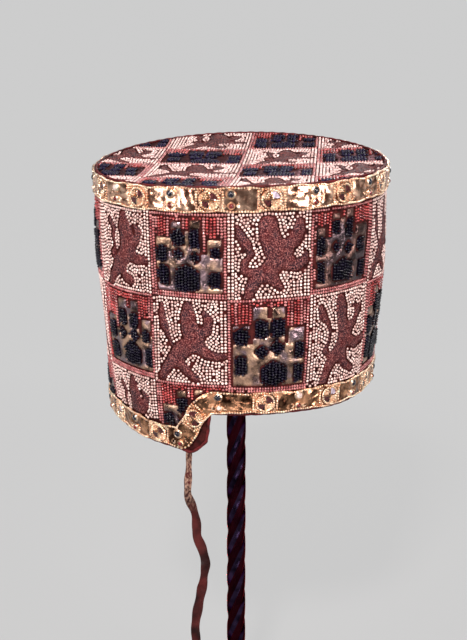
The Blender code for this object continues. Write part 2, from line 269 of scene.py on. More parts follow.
tie_silk = shades_of("ribbon_silk", (0.015, 0.002, 0.002), (0.075, 0.010, 0.009), 0.011, (0.45, 0.75),
                     shine=0.2)
specked(tie_silk, 0.0010, (0.30, 0.18, 0.13), 0.40, 0.66, (1.0, 1.0, 0.5), THREADS_BARE)
grained(tie_silk, (0.0009, 0.00012, (1.0, 1.0, 0.3)), (0.0004, 0.00006, (0.2, 0.2, 1.0)))
line, length = smooth_route(RIBBON_ROUTE, RIBBON_STEP)
points, sides = ribbon_points(line)
tie = add_piece("tie_ribbon", points, tube_faces(len(line), sides), tie_silk)
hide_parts("ribbon")

# The stand: a square iron bar, twisted hot and riveted into a plain round foot. Both are blackened,
# and the flats of the bar are rubbed to a dark violet gloss.
FOOT_RADIUS = 0.070
FOOT_THICK = 0.010
FOOT_EDGE = 0.002
FOOT_GROOVE = 0.0004
FOOT_SIDES = 120
BAR_RADIUS = 0.0067
BAR_FLAT = 0.0059
BAR_LEAD = 0.090
BAR_RIDGES = 4
BAR_SIDES = 40
BAR_STEP = 0.0016
BAR_FLAT_SIDES = (8, 9, 0, 1)
FRONT_EDGE = 0.400
PAD_DEPTH = 0.024
GAP = 0.0003
FORGED = (0.0025, 0.00012)
SCALED = (0.0007, 0.00003)


def turned(profile, sides):
    """Points and faces of a turned piece, closed at both ends; the profile gives radii and heights."""
    angles = [tau * k / sides for k in range(sides)]
    points = [Vector((r * cos(a), r * sin(a), height)) for r, height in profile for a in angles]
    return points, tube_faces(len(profile), sides)


def bar_points(low, high, steps):
    """A square section with rounded corners that turns evenly on its way up."""
    points = []
    for i in range(steps + 1):
        height = low + (high - low) * i / steps
        twist = tau * (height - low) / BAR_LEAD
        for j in range(BAR_SIDES):
            angle = tau * j / BAR_SIDES
            off = (angle + pi / BAR_RIDGES) % (tau / BAR_RIDGES) - pi / BAR_RIDGES
            radius = min(BAR_RADIUS, BAR_FLAT / cos(off))
            points.append(Vector((radius * cos(angle + twist), radius * sin(angle + twist), height)))
    return points


def foot_profile():
    inner = FOOT_RADIUS - FOOT_EDGE
    arc = [(inner + FOOT_EDGE * cos(pi / 8.0 * k), FOOT_THICK - FOOT_EDGE + FOOT_EDGE * sin(pi / 8.0 * k))
           for k in range(5)]
    groove = [(inner * share, FOOT_THICK - FOOT_GROOVE * (share == 0.70)) for share in (0.72, 0.70, 0.68)]
    rim = [(FOOT_RADIUS - 0.0005, 0.0), (FOOT_RADIUS, 0.0005)] + arc
    return rim + groove + [(BAR_RADIUS * 1.2, FOOT_THICK)]


iron = shades_of("dark_iron", (0.009, 0.0015, 0.004), (0.026, 0.003, 0.006), 0.014, (0.42, 0.6), 1.0)
fill(iron, shader_of(iron), {
    "Specular Tint": (0.35, 0.05, 0.07, 1.0),
    "Sheen Weight": 1.0,
    "Sheen Roughness": 0.25,
    "Sheen Tint": (0.9, 0.06, 0.08, 1.0),
})
grained(iron, FORGED, SCALED)
rubbed = shades_of("rubbed_iron", (0.012, 0.007, 0.019), (0.046, 0.028, 0.070), 0.007, (0.17, 0.28), 1.0)
fill(rubbed, shader_of(rubbed), {"Specular Tint": (0.30, 0.05, 0.08, 1.0)})
grained(rubbed, (0.0025, 0.00008))
bar_low, bar_high = FOOT_THICK + GAP, FRONT_EDGE - PAD_DEPTH - GAP
bar_steps = ceil((bar_high - bar_low) / BAR_STEP)
bar_faces = tube_faces(bar_steps + 1, BAR_SIDES)
bar = add_piece("twisted_bar", bar_points(bar_low, bar_high, bar_steps), bar_faces, iron, 60.0)
bar.data.materials.append(rubbed)
for face in bar.data.polygons[:-2]:
    face.material_index = int(face.index % BAR_SIDES % (BAR_SIDES // BAR_RIDGES) in BAR_FLAT_SIDES)
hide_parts("post")

plain_iron = shades_of("foot_iron", (0.010, 0.006, 0.008), (0.026, 0.013, 0.016), 0.022, (0.38, 0.55), 1.0)
fill(plain_iron, shader_of(plain_iron), {"Specular Tint": (0.30, 0.16, 0.18, 1.0)})
grained(plain_iron, FORGED, SCALED)
foot = add_piece("round_foot", *turned(foot_profile(), FOOT_SIDES), plain_iron)
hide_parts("foot")

# The cap's body: a wall of heavy cloth with a dark silk face and a linen lining, cut with a step at
# each temple, and a round top of the same cloth that is stretched over it and sags a little.
CAP_SHIFT = 0.0028
FOREHEAD = 0.1362
TOP_RADIUS = 0.0942
HEM_RADIUS = 0.0882
BACK_RISE = 0.0195
RISE_POWER = 1.6
SIDE_TILT = 0.0020
WALL_THICK = 0.0030
PANEL_THICK = 0.0030
PANEL_SAG = 0.0035
FLAP_DROP = 0.0255
LEFT_STEP_AT = radians(-12.5)
RIGHT_STEP_AT = radians(115.0)
CLOTH_SINK = 0.0006
BUCKLE = 0.00065
BUCKLE_WAVES = (
    # share of BUCKLE, waves in one turn round, radians per metre of height, start
    (1.0, 5.0, 40.0, 0.0),
    (0.7, 9.0, -70.0, 1.0),
)
HEM_TUCK = 0.0008
LINING_TUCK = 0.0004
PANEL_UNDER = (0.1, 0.25, 0.4, 0.55, 0.7, 0.85, 0.95, 1.0)
PANEL_UNDER_INSET = 0.001
PANEL_INSET = 0.0004
WALL_COLUMNS = 300
WALL_ROUNDS = (44, 14)
PANEL_COLUMNS = 168
PANEL_ROUNDS = 26
EDGE_SAMPLES = 64
EDGE_WAVES = 8
STEP_EDGE = (
    # reach, drop: shares of FLAP_DROP past the step's start and below the forehead's hem
    (0.00, 0.00),
    (0.05, 0.45),
    (0.10, 0.73),
    (0.24, 0.88),
    (0.45, 1.04),
    (0.55, 1.06),
)
FLAP_EDGE = (
    # way, drop: shares of the way from the left step round the back to the right one, and of FLAP_DROP
    (0.03, 0.99),
    (0.09, 0.94),
    (0.17, 0.86),
    (0.27, 0.82),
    (0.50, 0.88),
    (0.75, 0.92),
    (0.92, 0.97),
)


def rim_height(angle):
    """Height of the cap's top edge, lowest at the forehead and lifted at the back."""
    lift = BACK_RISE * ((1.0 - np.cos(angle)) / 2.0) ** RISE_POWER
    return FRONT_EDGE + lift + SIDE_TILT * np.sin(angle)


def wall_radius(angle, height):
    """Outer radius of the wall, which draws in towards the hem and buckles very slightly."""
    down = np.maximum(FRONT_EDGE - height, 0.0) / FOREHEAD
    buckle = 0.0
    for size, turns, climb, start in BUCKLE_WAVES:
        buckle = buckle + size * np.sin(turns * angle + climb * height + start)
    return TOP_RADIUS - (TOP_RADIUS - HEM_RADIUS) * down**2 + BUCKLE * buckle * np.minimum(down * 4.0, 1.0)


def around(angle, radius, height):
    """A point at an angle, radius and height on the cap's axis."""
    return Vector((CAP_SHIFT + radius * sin(angle), -radius * cos(angle), height))


def round_once(count):
    return tau * np.arange(count) / count


def panel_heights(radii, angles):
    """Heights of the top, cloth stretched over the top edge and sagging a little inside it."""
    waves = np.fft.rfft(rim_height(round_once(EDGE_SAMPLES))) / EDGE_SAMPLES
    share = np.asarray(radii) / TOP_RADIUS
    heights = waves[0].real + 0.0 * share
    for n in range(1, EDGE_WAVES + 1):
        heights = heights + share**n * 2.0 * (waves[n] * np.exp(1j * n * np.asarray(angles))).real
    return heights - PANEL_SAG * (1.0 - share**2)


def step_angle(side, reach):
    """Angle of a place on a step: side is -1 for the left step and 1 for the right one."""
    start = LEFT_STEP_AT if side < 0 else RIGHT_STEP_AT
    return start + side * reach * FLAP_DROP / HEM_RADIUS


def hem_table():
    """Angles and heights of the hem's corners, once round from the left step rightwards."""
    forehead = FRONT_EDGE - FOREHEAD
    left = [(step_angle(-1, reach), drop) for reach, drop in reversed(STEP_EDGE)]
    right = [(step_angle(1, reach), drop) for reach, drop in STEP_EDGE]
    start, end = right[-1][0], left[0][0] + tau
    back = [(end + (start - end) * way, drop) for way, drop in reversed(FLAP_EDGE)]
    corners = left + right + back + [(left[0][0] + tau, left[0][1])]
    return [angle for angle, drop in corners], [forehead - drop * FLAP_DROP for angle, drop in corners]


HEM_ANGLES, HEM_HEIGHTS = hem_table()


def hem_height(angle):
    turn = (np.asarray(angle) - HEM_ANGLES[0]) % tau + HEM_ANGLES[0]
    return np.interp(turn, HEM_ANGLES, HEM_HEIGHTS)


def wall_columns():
    """Angles spaced evenly round the wall, but with one at each corner of the hem."""
    corners = HEM_ANGLES[:-1]
    near = 0.35 * tau / WALL_COLUMNS
    even = [corners[0] + tau * k / WALL_COLUMNS for k in range(WALL_COLUMNS)]
    kept = [a for a in even if all(abs((a - c + pi) % tau - pi) > near for c in corners)]
    return np.array(sorted(kept + corners))


def make_wall(face_cloth, lining):
    angles = wall_columns()
    tops = rim_height(angles) - PANEL_THICK - GAP
    rings = []
    for share in np.linspace(0.0, 1.0, WALL_ROUNDS[0]):
        z = tops + (hem_height(angles) - tops) * share
        rings.append((wall_radius(angles, z) - CLOTH_SINK - HEM_TUCK * (share == 1.0), z))
    for share in np.linspace(0.0, 1.0, WALL_ROUNDS[1])[::-1]:
        z = tops + (hem_height(angles) - tops) * share
        rings.append((wall_radius(angles, z) - WALL_THICK + LINING_TUCK * (share == 1.0), z))
    points = [around(a, r[i], z[i]) for i, a in enumerate(angles) for r, z in rings]
    wall = add_piece("wall_cloth", points, tube_faces(len(angles), len(rings), closed=True), face_cloth)
    wall.data.materials.append(lining)
    for face in wall.data.polygons:
        face.material_index = int(face.index % len(rings) >= WALL_ROUNDS[0] - 1)
    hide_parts("crown_wall")


def make_top(face_cloth, lining):
    angles = round_once(PANEL_COLUMNS)
    rings = [(share * TOP_RADIUS - PANEL_UNDER_INSET, PANEL_THICK) for share in PANEL_UNDER]
    for share in np.linspace(1.0, 0.04, PANEL_ROUNDS):
        rings.append((share * TOP_RADIUS - PANEL_INSET, CLOTH_SINK))
    points = []
    for radius, drop in rings:
        heights = panel_heights(np.full(PANEL_COLUMNS, radius), angles) - drop
        points += [around(a, radius, z) for a, z in zip(angles, heights)]
    top = add_piece("top_cloth", points, tube_faces(len(rings), PANEL_COLUMNS), face_cloth)
    top.data.materials.append(lining)
    for face in top.data.polygons:
        face.material_index = int(face.index < (len(PANEL_UNDER) - 1) * PANEL_COLUMNS)
    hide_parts("crown_top")


silk_cloth = shades_of("worn_silk_cloth", (0.020, 0.005, 0.005), (0.070, 0.014, 0.013), 0.004, (0.7, 0.9),
                       shine=0.05)
grained(silk_cloth, (0.0005, 0.0001))
linen = shades_of("linen_lining", (0.10, 0.055, 0.040), (0.21, 0.13, 0.095), 0.012, (0.8, 0.95))
grained(linen, (0.0006, 0.0002, (1.0, 1.0, 0.15)), (0.0006, 0.0002, (0.15, 0.15, 1.0)))
make_wall(silk_cloth, linen)
make_top(silk_cloth, linen)

# The pad: a block covered in felt that sits on the bar's head and carries the cap from inside. It is
# flat below with a rounded edge, and its head is shaped to the underside of the cap's top.
PAD_RADIUS = 0.062
PAD_EDGE = 0.003
PAD_SIDES = 96
PAD_HEAD = (
    # share of the radius, and how far the head is eased down there
    (1.0, 0.0015),
    (0.985, 0.0004),
    (0.95, 0.0),
    (0.8, 0.0),
    (0.6, 0.0),
    (0.3, 0.0),
)


def pad_points():
    base = FRONT_EDGE - PAD_DEPTH
    profile = [(0.3, base), (0.75, base)]
    for a in (0.0, pi / 6.0, pi / 3.0, pi / 2.0):
        profile.append((1.0 - PAD_EDGE / PAD_RADIUS * (1.0 - sin(a)), base + PAD_EDGE * (1.0 - cos(a))))
    angles = round_once(PAD_SIDES)
    points = [around(a, PAD_RADIUS * share, height) for share, height in profile for a in angles]
    for share, ease in PAD_HEAD:
        radii = np.full(PAD_SIDES, share * PAD_RADIUS)
        heights = panel_heights(radii, angles) - PANEL_THICK - GAP - ease
        points += [around(a, PAD_RADIUS * share, z) for a, z in zip(angles, heights)]
    return points


felt = shades_of("pad_felt", (0.055, 0.040, 0.036), (0.12, 0.095, 0.085), 0.004, (0.85, 1.0))
grained(felt, (0.0006, 0.0002))
points = pad_points()
pad = add_piece("felt_pad", points, tube_faces(len(points) // PAD_SIDES, PAD_SIDES), felt, 60.0)
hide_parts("pad")

# A fine red silk cord is whipped round the top edge, where the top and the wall are sewn together,
# and a thicker one binds the cut edge of the hem. The tie is stitched on behind the hem's low corner.
CORD_RADIUS = 0.0008
HEM_CORD_RADIUS = 0.0009
CORD_STEP = 0.0014
CORD_SIDES = 8
CORD_LAY = 1.1
CORD_SWELL = 0.18
TOP_CORD_POINTS = 420
TOP_CORD_INSET = 0.0009
HEM_CORD_INSET = 0.0006
HEM_CORD_DROP = 0.0003
TAB_HEIGHT = 0.009
TAB_FOOT = 0.0005
TAB_HALF = RIBBON_WIDTH * 0.42
TAB_SINK = 0.0036
TAB_ROWS = 5
TAB_SECTION = ((-1, 0.0), (0, 0.0), (1, 0.0), (1, 0.0005), (0, 0.0006), (-1, 0.0005))


def make_edge_cord(name, line, thick, stuff):
    """A laid cord along a closed line of angles, radii and heights."""
    ahead = [around(*b) - around(*a) for a, b in zip(line[-1:] + line[:-1], line[1:] + line[:1])]
    points = []
    for i, (angle, radius, height) in enumerate(line):
        out = Vector((sin(angle), -cos(angle), 0.0))
        up = out.cross(ahead[i]).normalized() * -1.0
        for j in range(CORD_SIDES):
            turn = tau * j / CORD_SIDES
            swell = thick * (1.0 + CORD_SWELL * sin(2.0 * turn + CORD_LAY * i))
            points.append(around(angle, radius, height) + (out * cos(turn) + up * sin(turn)) * swell)
    cord = add_piece(name, points, tube_faces(len(line), CORD_SIDES, closed=True), stuff, 80.0)


def hem_line():
    """The hem at an even spacing, its corners kept."""
    line = []
    for a, b, low, high in zip(HEM_ANGLES, HEM_ANGLES[1:], HEM_HEIGHTS, HEM_HEIGHTS[1:]):
        count = max(1, round(np.hypot((b - a) * HEM_RADIUS, high - low) / CORD_STEP))
        for share in np.arange(count) / count:
            angle, height = a + (b - a) * share, low + (high - low) * share
            line.append((angle, float(wall_radius(angle, height)) - HEM_CORD_INSET, height - HEM_CORD_DROP))
    return line


def tab_points():
    """The tie's end, folded flat against the lining."""
    start = Vector(RIBBON_ROUTE[0])
    turn = float(np.arctan2(start.x - CAP_SHIFT, -start.y))
    half = TAB_HALF / HEM_RADIUS
    points = []
    for height in np.linspace(start.z - TAB_FOOT, start.z + TAB_HEIGHT, TAB_ROWS):
        inner = float(wall_radius(turn, height)) - TAB_SINK
        points += [around(turn + share * half, inner + lift, height) for share, lift in TAB_SECTION]
    return points


red_silk = shades_of("red_silk_cord", (0.030, 0.003, 0.004), (0.12, 0.011, 0.012), 0.004, (0.5, 0.8),
                     shine=0.2)
grained(red_silk, (0.0005, 0.0001))
tab = add_piece("tie_tab", tab_points(), tube_faces(TAB_ROWS, len(TAB_SECTION)), red_silk, 60.0)
top_line = [(a, TOP_RADIUS - TOP_CORD_INSET, float(rim_height(a))) for a in round_once(TOP_CORD_POINTS)]
make_edge_cord("top_edge_cord", top_line, CORD_RADIUS, red_silk)
make_edge_cord("hem_cord", hem_line(), HEM_CORD_RADIUS, red_silk)

# The embroidery is a checker of lions and castles, twelve squares round the wall, two rows and the
# part of a third that the long flap has room for, with the same squares at a slant on the top. A
# square knows its size and how its flat cloth lies on the cap.
TOP_BAND = 0.0142
RIM_BAND = 0.0134
BAND_MARGIN = 0.0005
RIM_BENDS = 14
RIM_STEP = 0.002
RIM_CORNERS = (
    # reach, drop of the band's middle line on a step: start, bend, end and tip
    (-0.24, 0.00),
    (0.17, 0.02),
    (0.40, 0.49),
    (0.69, 0.97),
)
ROW_DEPTHS = (TOP_BAND + 0.0006, 0.0650, 0.1182, 0.1712)
FOREHEAD_FOOT = 0.1226
SEAMS = (-67.5, -35.0, -5.2, 25.5, 57.0)
SEAM_SLACK = 0.02
SQUARES_ROUND = 12
TOP_TURN = radians(5.5)
TOP_ORIGIN = (0.0006, -0.0020)
TOP_COLUMNS = (-0.1050, -0.0566, 0.0, 0.0484, 0.0970)
TOP_ROWS = (-0.0960, -0.0480, 0.0, 0.0470, 0.0950)
TOP_MARGIN = 0.0020
SLOPE_STEP = 0.0005
CHART_TURNS = (0, 1, 2, 3, 0)


def unit(ways):
    return ways / np.linalg.norm(ways, axis=-1, keepdims=True)


def wall_lie(angle, height, lift):
    """Points on the wall's cloth at some lift, with the directions right, up and out there."""
    angle, height = np.asarray(angle, float), np.asarray(height, float)
    rise = wall_radius(angle, height + SLOPE_STEP) - wall_radius(angle, height - SLOPE_STEP)
    slope = rise / (2.0 * SLOPE_STEP)
    flat = np.stack([np.sin(angle), -np.cos(angle), 0.0 * angle], -1)
    right = np.stack([np.cos(angle), np.sin(angle), 0.0 * angle], -1)
    up = unit(flat * slope[..., None] + np.array([0.0, 0.0, 1.0]))
    out = np.cross(right, up)
    radius = wall_radius(angle, height) - CLOTH_SINK
    points = flat * radius[..., None] + np.array([CAP_SHIFT, 0.0, 0.0])
    points[..., 2] = height
    return points + out * np.asarray(lift)[..., None], right, up, out


def top_height(x, y):
    return panel_heights(np.hypot(x, y), np.arctan2(x, -y)) - CLOTH_SINK


def top_lie(x, y, lift):
    """Points on the top's cloth at some lift, with the directions right, up the square and out."""
    z = top_height(x, y)
    east = (top_height(x + SLOPE_STEP, y) - z) / SLOPE_STEP
    north = (top_height(x, y + SLOPE_STEP) - z) / SLOPE_STEP
    out = unit(np.stack([-east, -north, 1.0 + 0.0 * z], -1))
    ahead = np.array([sin(TOP_TURN), cos(TOP_TURN), 0.0])
    right = unit(np.cross(np.broadcast_to(ahead, out.shape), out))
    points = np.stack([x + CAP_SHIFT, y, z], -1)
    return points + out * np.asarray(lift)[..., None], right, np.cross(out, right), out


def rim_line():
    """The rim band's middle line as angles and heights, once round from the left flap's tip."""
    middle = RIM_BAND / 2.0 + BAND_MARGIN
    forehead = FRONT_EDGE - FOREHEAD + middle

    def step(side):
        start, bend, end, tip = [(step_angle(side, r), forehead - d * FLAP_DROP) for r, d in RIM_CORNERS]
        turn = []
        for t in np.linspace(0.0, 1.0, RIM_BENDS):
            a, b, c = (1 - t) ** 2, 2 * t * (1 - t), t**2
            turn.append(tuple(a * p + b * q + c * r for p, q, r in zip(start, bend, end)))
        leg = [tuple(p + (q - p) * t for p, q in zip(end, tip)) for t in (0.25, 0.5, 0.75, 1.0)]
        return turn + leg

    left, right = step(-1), step(1)
    count = ceil((right[0][0] - left[0][0]) * HEM_RADIUS / RIM_STEP)
    front = [(left[0][0] + (right[0][0] - left[0][0]) * k / count, forehead) for k in range(1, count)]
    start, end = right[-1][0], left[-1][0] + tau
    count = ceil((end - start) * HEM_RADIUS / RIM_STEP)
    back = [start + (end - start) * k / count for k in range(1, count)]
    return left[::-1] + front + right + [(a, float(hem_height(a)) + middle) for a in back]


RIM_LINE = rim_line()
RIM_PATH = np.array(RIM_LINE)


def clear_of_rim(angle, height, room):
    """True where the wall is above the rim band and at least some room away from its upper edge."""
    turn = (angle - RIM_PATH[0, 0]) % tau + RIM_PATH[0, 0]
    above = height > np.interp(turn, RIM_PATH[:, 0], RIM_PATH[:, 1], period=tau)
    beside = (turn[:, None] - RIM_PATH[None, :, 0]) * HEM_RADIUS
    gaps = np.hypot(beside, height[:, None] - RIM_PATH[None, :, 1])
    return above & (gaps.min(axis=1) > RIM_BAND / 2.0 + room)


class Square:
    """One square of the checker, flat: x goes right and y up from its lower left corner."""

    def __init__(self, name, figure, turn, flip, wide, high):
        self.name, self.figure, self.turn, self.flip = name, figure, turn, flip
        self.wide, self.high = wide, high

    def chart_from(self, charts):
        """The chart of its figure. Charts are dealt in turn, and the first comes round twice."""
        return charts[CHART_TURNS[self.turn % len(CHART_TURNS)]]

    def on_wall(self, left, right, upper, lower):
        def place(x, y):
            angle = left + (right - left) * np.asarray(x) / self.wide
            depth = lower + (upper - lower) * np.asarray(y) / self.high
            lift = (rim_height(angle) - FRONT_EDGE) * np.clip(1.0 - depth / FOREHEAD, 0.0, 1.0)
            return angle, FRONT_EDGE - depth + lift

        self.lie = lambda x, y, lift: wall_lie(*place(x, y), lift)
        self.free = lambda x, y, room: clear_of_rim(*place(x, y), room)
        return self

    def on_top(self, left, front):
        def place(x, y):
            u, v = left + np.asarray(x), front + np.asarray(y)
            return (TOP_ORIGIN[0] + u * cos(TOP_TURN) + v * sin(TOP_TURN),
                    TOP_ORIGIN[1] - u * sin(TOP_TURN) + v * cos(TOP_TURN))

        self.lie = lambda x, y, lift: top_lie(*place(x, y), lift)
        self.free = lambda x, y, room: np.hypot(*place(x, y)) < TOP_RADIUS - TOP_MARGIN - room
        return self


def seam_angles():
    """Angles of the seams between the wall's squares, from the left of the front rightwards."""
    hidden = SQUARES_ROUND - len(SEAMS) + 1
    back = (360.0 + SEAMS[0] - SEAMS[-1]) / hidden
    return [radians(a) for a in SEAMS + tuple(SEAMS[-1] + back * k for k in range(1, hidden + 1))]


def wall_squares(row):
    """The squares of one row of the wall, with some of the hidden ones mirrored."""
    seams = seam_angles()
    upper, lower = ROW_DEPTHS[row], ROW_DEPTHS[row + 1]
    squares = []
    for k, (left, right) in enumerate(zip(seams, seams[1:])):
        on_flap = left > RIGHT_STEP_AT - SEAM_SLACK or right < LEFT_STEP_AT
        if row == 2 and not (on_flap or k == 1):
            continue
        figure = "lion" if (row + k) % 2 == 0 else "castle"
        wide = (right - left) * (TOP_RADIUS + HEM_RADIUS) / 2.0
        foot = FOREHEAD_FOOT if row == 1 and not on_flap and k > 1 else lower
        flip = -1 if k > 6 and k % 4 > 1 else 1
        square = Square(f"row_{row + 1}_{k + 1:02d}", figure, k // 2 + 2 * row, flip, wide, foot - upper)
        squares.append(square.on_wall(left, right, upper, foot))
    return squares


def top_squares():
    squares = []
    for row, (front, back) in enumerate(zip(TOP_ROWS, TOP_ROWS[1:])):
        for column, (left, right) in enumerate(zip(TOP_COLUMNS, TOP_COLUMNS[1:])):
            figure = "lion" if (row + column) % 2 == 0 else "castle"
            name = f"top_{row + 1}_{column + 1}"
            square = Square(name, figure, row + column, 1, right - left, back - front)
            squares.append(square.on_top(left, front))
    return squares


ROWS = [wall_squares(row) for row in range(3)]
UPPER_ROWS = ROWS[0] + ROWS[1]
WALL_FIELD = UPPER_ROWS + ROWS[2]
TOP_FIELD = top_squares()
FLAP_AND_TOP = ROWS[2] + TOP_FIELD


def with_figure(figure, squares):
    return [square for square in squares if square.figure == figure]


# Each lion is worked in dark purple silk, couched down in close rows over a padding so that it
# stands up between the pearls. It prances to the right with its tail up. Strokes swell and taper.
SILK_RAISE = 0.0013
SILK_CELL = 0.00085
SILK_ROUND = 0.0011
SILK_ROW = 0.0021
SILK_RIDGE = 0.00010
LIMB_BLEND = 0.5 * SILK_ROUND
EDGE_TUCK = 0.0004
EDGE_ROOM = 0.0002
STROKE = 1.14
LIONS = (
    # strokes of x, y and radius, in hundredths of the square: the head first, the tail last
    (
        ((56, 88, 6), (57, 76, 10), (61, 60, 11), (60, 46, 11)),
        ((60, 46, 10), (50, 35, 10), (41, 25, 8)),
        ((68, 56, 7), (78, 62, 5), (82, 73, 4.5), (75, 79, 2.5)),
        ((68, 46, 7), (78, 40, 5.5), (91, 40, 4.5)),
        ((41, 25, 8), (31, 13, 6.5), (25, 2, 5.5)),
        ((52, 26, 6), (58, 15, 4.5), (68, 13, 5.5)),
        ((38, 31, 2), (30, 40, 3), (37, 50, 2), (33, 62, 3), (36, 72, 3.5), (28, 80, 4.5)),
    ),
    (
        ((47, 86, 10), (49, 72, 10.5), (55, 59, 11.5), (64, 47, 11), (72, 41, 7.5)),
        ((60, 46, 10), (50, 36, 9.5), (42, 29, 8), (30, 30, 5.5), (19, 34, 3)),
        ((67, 56, 9), (79, 67, 7.5), (84, 77, 7), (85, 87, 5)),
        ((70, 42, 8), (83, 37, 6), (92, 42, 5), (94.5, 50, 3)),
        ((36, 27, 6), (28, 14, 6), (24, 2, 4.5)),
        ((44, 30, 6), (54, 22, 5.5), (62, 13, 4)),
        ((19, 34, 3), (20, 44, 3), (28, 53, 2.5), (22, 64, 5), (16, 74, 4.5), (12, 84, 2.5)),
    ),
    (
        ((50, 90, 6), (50, 78, 9), (52, 64, 10), (58, 50, 11)),
        ((54, 48, 10), (42, 40, 10), (31, 30, 8)),
        ((64, 56, 6), (74, 64, 5.5), (77, 76, 4.5), (71, 84, 3)),
        ((62, 44, 8), (74, 36, 6), (86, 33, 4.5), (97, 34, 3.5)),
        ((29, 28, 8), (19, 17, 6), (11, 5, 5)),
        ((37, 24, 6), (46, 15, 5), (58, 6, 4.5)),
        ((27, 44, 2), (21, 55, 2.5), (16, 66, 5), (13, 78, 4), (13, 90, 2.5)),
    ),
    (
        ((48, 90, 7), (51, 79, 8.5), (53, 66, 7.5), (59, 53, 10.5), (53, 38, 9.5)),
        ((64, 55, 7.5), (76, 62, 4.5), (83, 72, 4.5), (76, 81, 2.5)),
        ((82, 74, 4), (90, 80, 2)),
        ((64, 45, 7.5), (80, 38, 5.5), (96, 42, 4.5)),
        ((45, 32, 9), (33, 21, 6), (25, 4, 5.5)),
        ((54, 29, 8), (60, 19, 5), (73, 12, 4.5)),
        ((35, 30, 2.5), (25, 38, 3), (31, 47, 1.8), (33, 58, 1.8), (28, 68, 2.5), (20, 76, 5),
         (16, 86, 3.5)),
    ),
)


def lion_field(square):
    """Distance from a lion drawn in tapering strokes, less than nothing inside it."""
    wide, high = square.wide, square.high
    scale = np.array([wide, high, wide * STROKE])
    pairs = [(p, q) for limb in square.chart_from(LIONS) for p, q in zip(limb, limb[1:])]
    a = np.array([p for p, q in pairs]) / 100.0 * scale
    b = np.array([q for p, q in pairs]) / 100.0 * scale
    if square.flip < 0:
        a[:, 0], b[:, 0] = wide - a[:, 0], wide - b[:, 0]
    run = b[:, :2] - a[:, :2]
    reach = (run**2).sum(-1)

    def field(x, y):
        spots = np.stack([np.asarray(x, float), np.asarray(y, float)], -1)[..., None, :] - a[:, :2]
        way = np.clip((spots * run).sum(-1) / reach, 0.0, 1.0)
        away = np.hypot(*np.moveaxis(spots - way[..., None] * run, -1, 0))
        gaps = away - a[:, 2] - way * (b[:, 2] - a[:, 2])
        least = gaps.min(axis=-1)
        soft = np.exp(-np.minimum((gaps - least[..., None]) / LIMB_BLEND, 30.0)).sum(axis=-1)
        return least - LIMB_BLEND * np.log(soft)

    return field


def figure_patch(square, field, cell, raise_of):
    """Points and faces of a patch of work that fills a figure, its edge tucked into the cloth."""
    across, upward = ceil(square.wide / cell), ceil(square.high / cell)
    x, y = np.meshgrid(np.linspace(0.0, square.wide, across + 1), np.linspace(0.0, square.high, upward + 1))
    tiny = cell / 10.0
    for _ in range(2):
        gap = field(x, y)
        east = (field(x + tiny, y) - gap) / tiny
        north = (field(x, y + tiny) - gap) / tiny
        near = np.abs(gap) < 0.55 * cell
        x = np.where(near, x - gap * east, x)
        y = np.where(near, y - gap * north, y)
    gap = field(x, y)
    within = (gap < 0.12 * cell) & square.free(x.ravel(), y.ravel(), EDGE_ROOM).reshape(x.shape)
    whole = within[:-1, :-1] & within[1:, :-1] & within[:-1, 1:] & within[1:, 1:]
    number = np.arange(x.size).reshape(x.shape)
    faces = np.stack([number[:-1, :-1], number[:-1, 1:], number[1:, 1:], number[1:, :-1]], -1)[whole]
    used, again = np.unique(faces, return_inverse=True)
    faces = again.reshape(-1, 4)
    x, y, gap = x.ravel()[used], y.ravel()[used], gap.ravel()[used]
    edge = np.bincount(faces.ravel(), minlength=len(x)) < 4
    lift = np.where(edge, -EDGE_TUCK, raise_of(x, y, -gap))
    return square.lie(x, y, lift)[0], faces


def join_patches(name, patches, stuff):
    points, faces, count = [], [], 0
    for some_points, some_faces in patches:
        points.append(some_points)
        faces.append(some_faces + count)
        count += len(some_points)
    piece = add_piece(name, np.concatenate(points), np.concatenate(faces).tolist(), stuff, 80.0)


def silk_raise(x, y, inward):
    """Padding that rounds up from the edge, with the rows of couching laid across it."""
    rows = SILK_RIDGE * np.sin((x * 0.5 + y) * tau / SILK_ROW)
    return SILK_RAISE * (1.0 - np.exp(-inward / SILK_ROUND)) + rows


silk = shades_of("couched_silk", (0.014, 0.007, 0.013), (0.060, 0.008, 0.010), 0.006, (0.5, 0.75),
                 shine=0.10)
# The pale specks on the lions are paler thread and also painted glints of the couched silk.
specked(silk, 0.0006, (0.41, 0.15, 0.135), 0.50, 0.68)
grained(silk, (0.0016, 0.0007), kind="TexVoronoi")
grained(silk, (0.0007, 0.0005))
for name, squares in (("wall_lions", UPPER_ROWS), ("flap_and_top_lions", FLAP_AND_TOP)):
    patches = [figure_patch(s, lion_field(s), SILK_CELL, silk_raise) for s in with_figure("lion", squares)]
    join_patches(name, patches, silk)

# Seed pearls fill the ground round every lion. Strings of them are couched down the sides first,
# then round the outline, then in rows across, and single pearls close the holes that are left.
PEARL_RADIUS = 0.00090
PEARL_FORM = (0.98, 1.0, 0.92)
PEARL_SIZES = (0.94, 1.07)
PEARL_PITCH = 0.00202
PEARL_ROW = 0.00218
PEARL_NEAREST = 0.00186
PEARL_SQUEEZE = 0.86
PEARL_SMALL = 0.78
PEARL_SIDE_STRINGS = 2
PEARL_LIFT = PEARL_RADIUS * 0.72
PEARL_CLEAR = PEARL_RADIUS * 1.12
PEARL_SECOND = PEARL_CLEAR + PEARL_ROW * 0.92
PEARL_STRAY = 0.00004
PEARL_SLIP = 0.0004
PEARL_HOLE_STEP = 0.0004
PEARL_SHIFT = 0.00025
PEARL_SEED = 1275
PEARLS_LOST = 0.016
# The next two lines give painted shade: a dark red-brown laid on the lower part of every pearl, up through
# the share of its height given, where it sits down between its neighbours.
PEARL_PAINTED_SHADE = (0.11, 0.022, 0.018, 1.0)
PEARL_SHADE_HEIGHTS = (0.36, 0.72)
BEAD_ROOM = 0.0006
OUTLINE_CELL = 0.0005
OUTLINE_NEAR = 0.00022
OUTLINE_LONGEST = 200


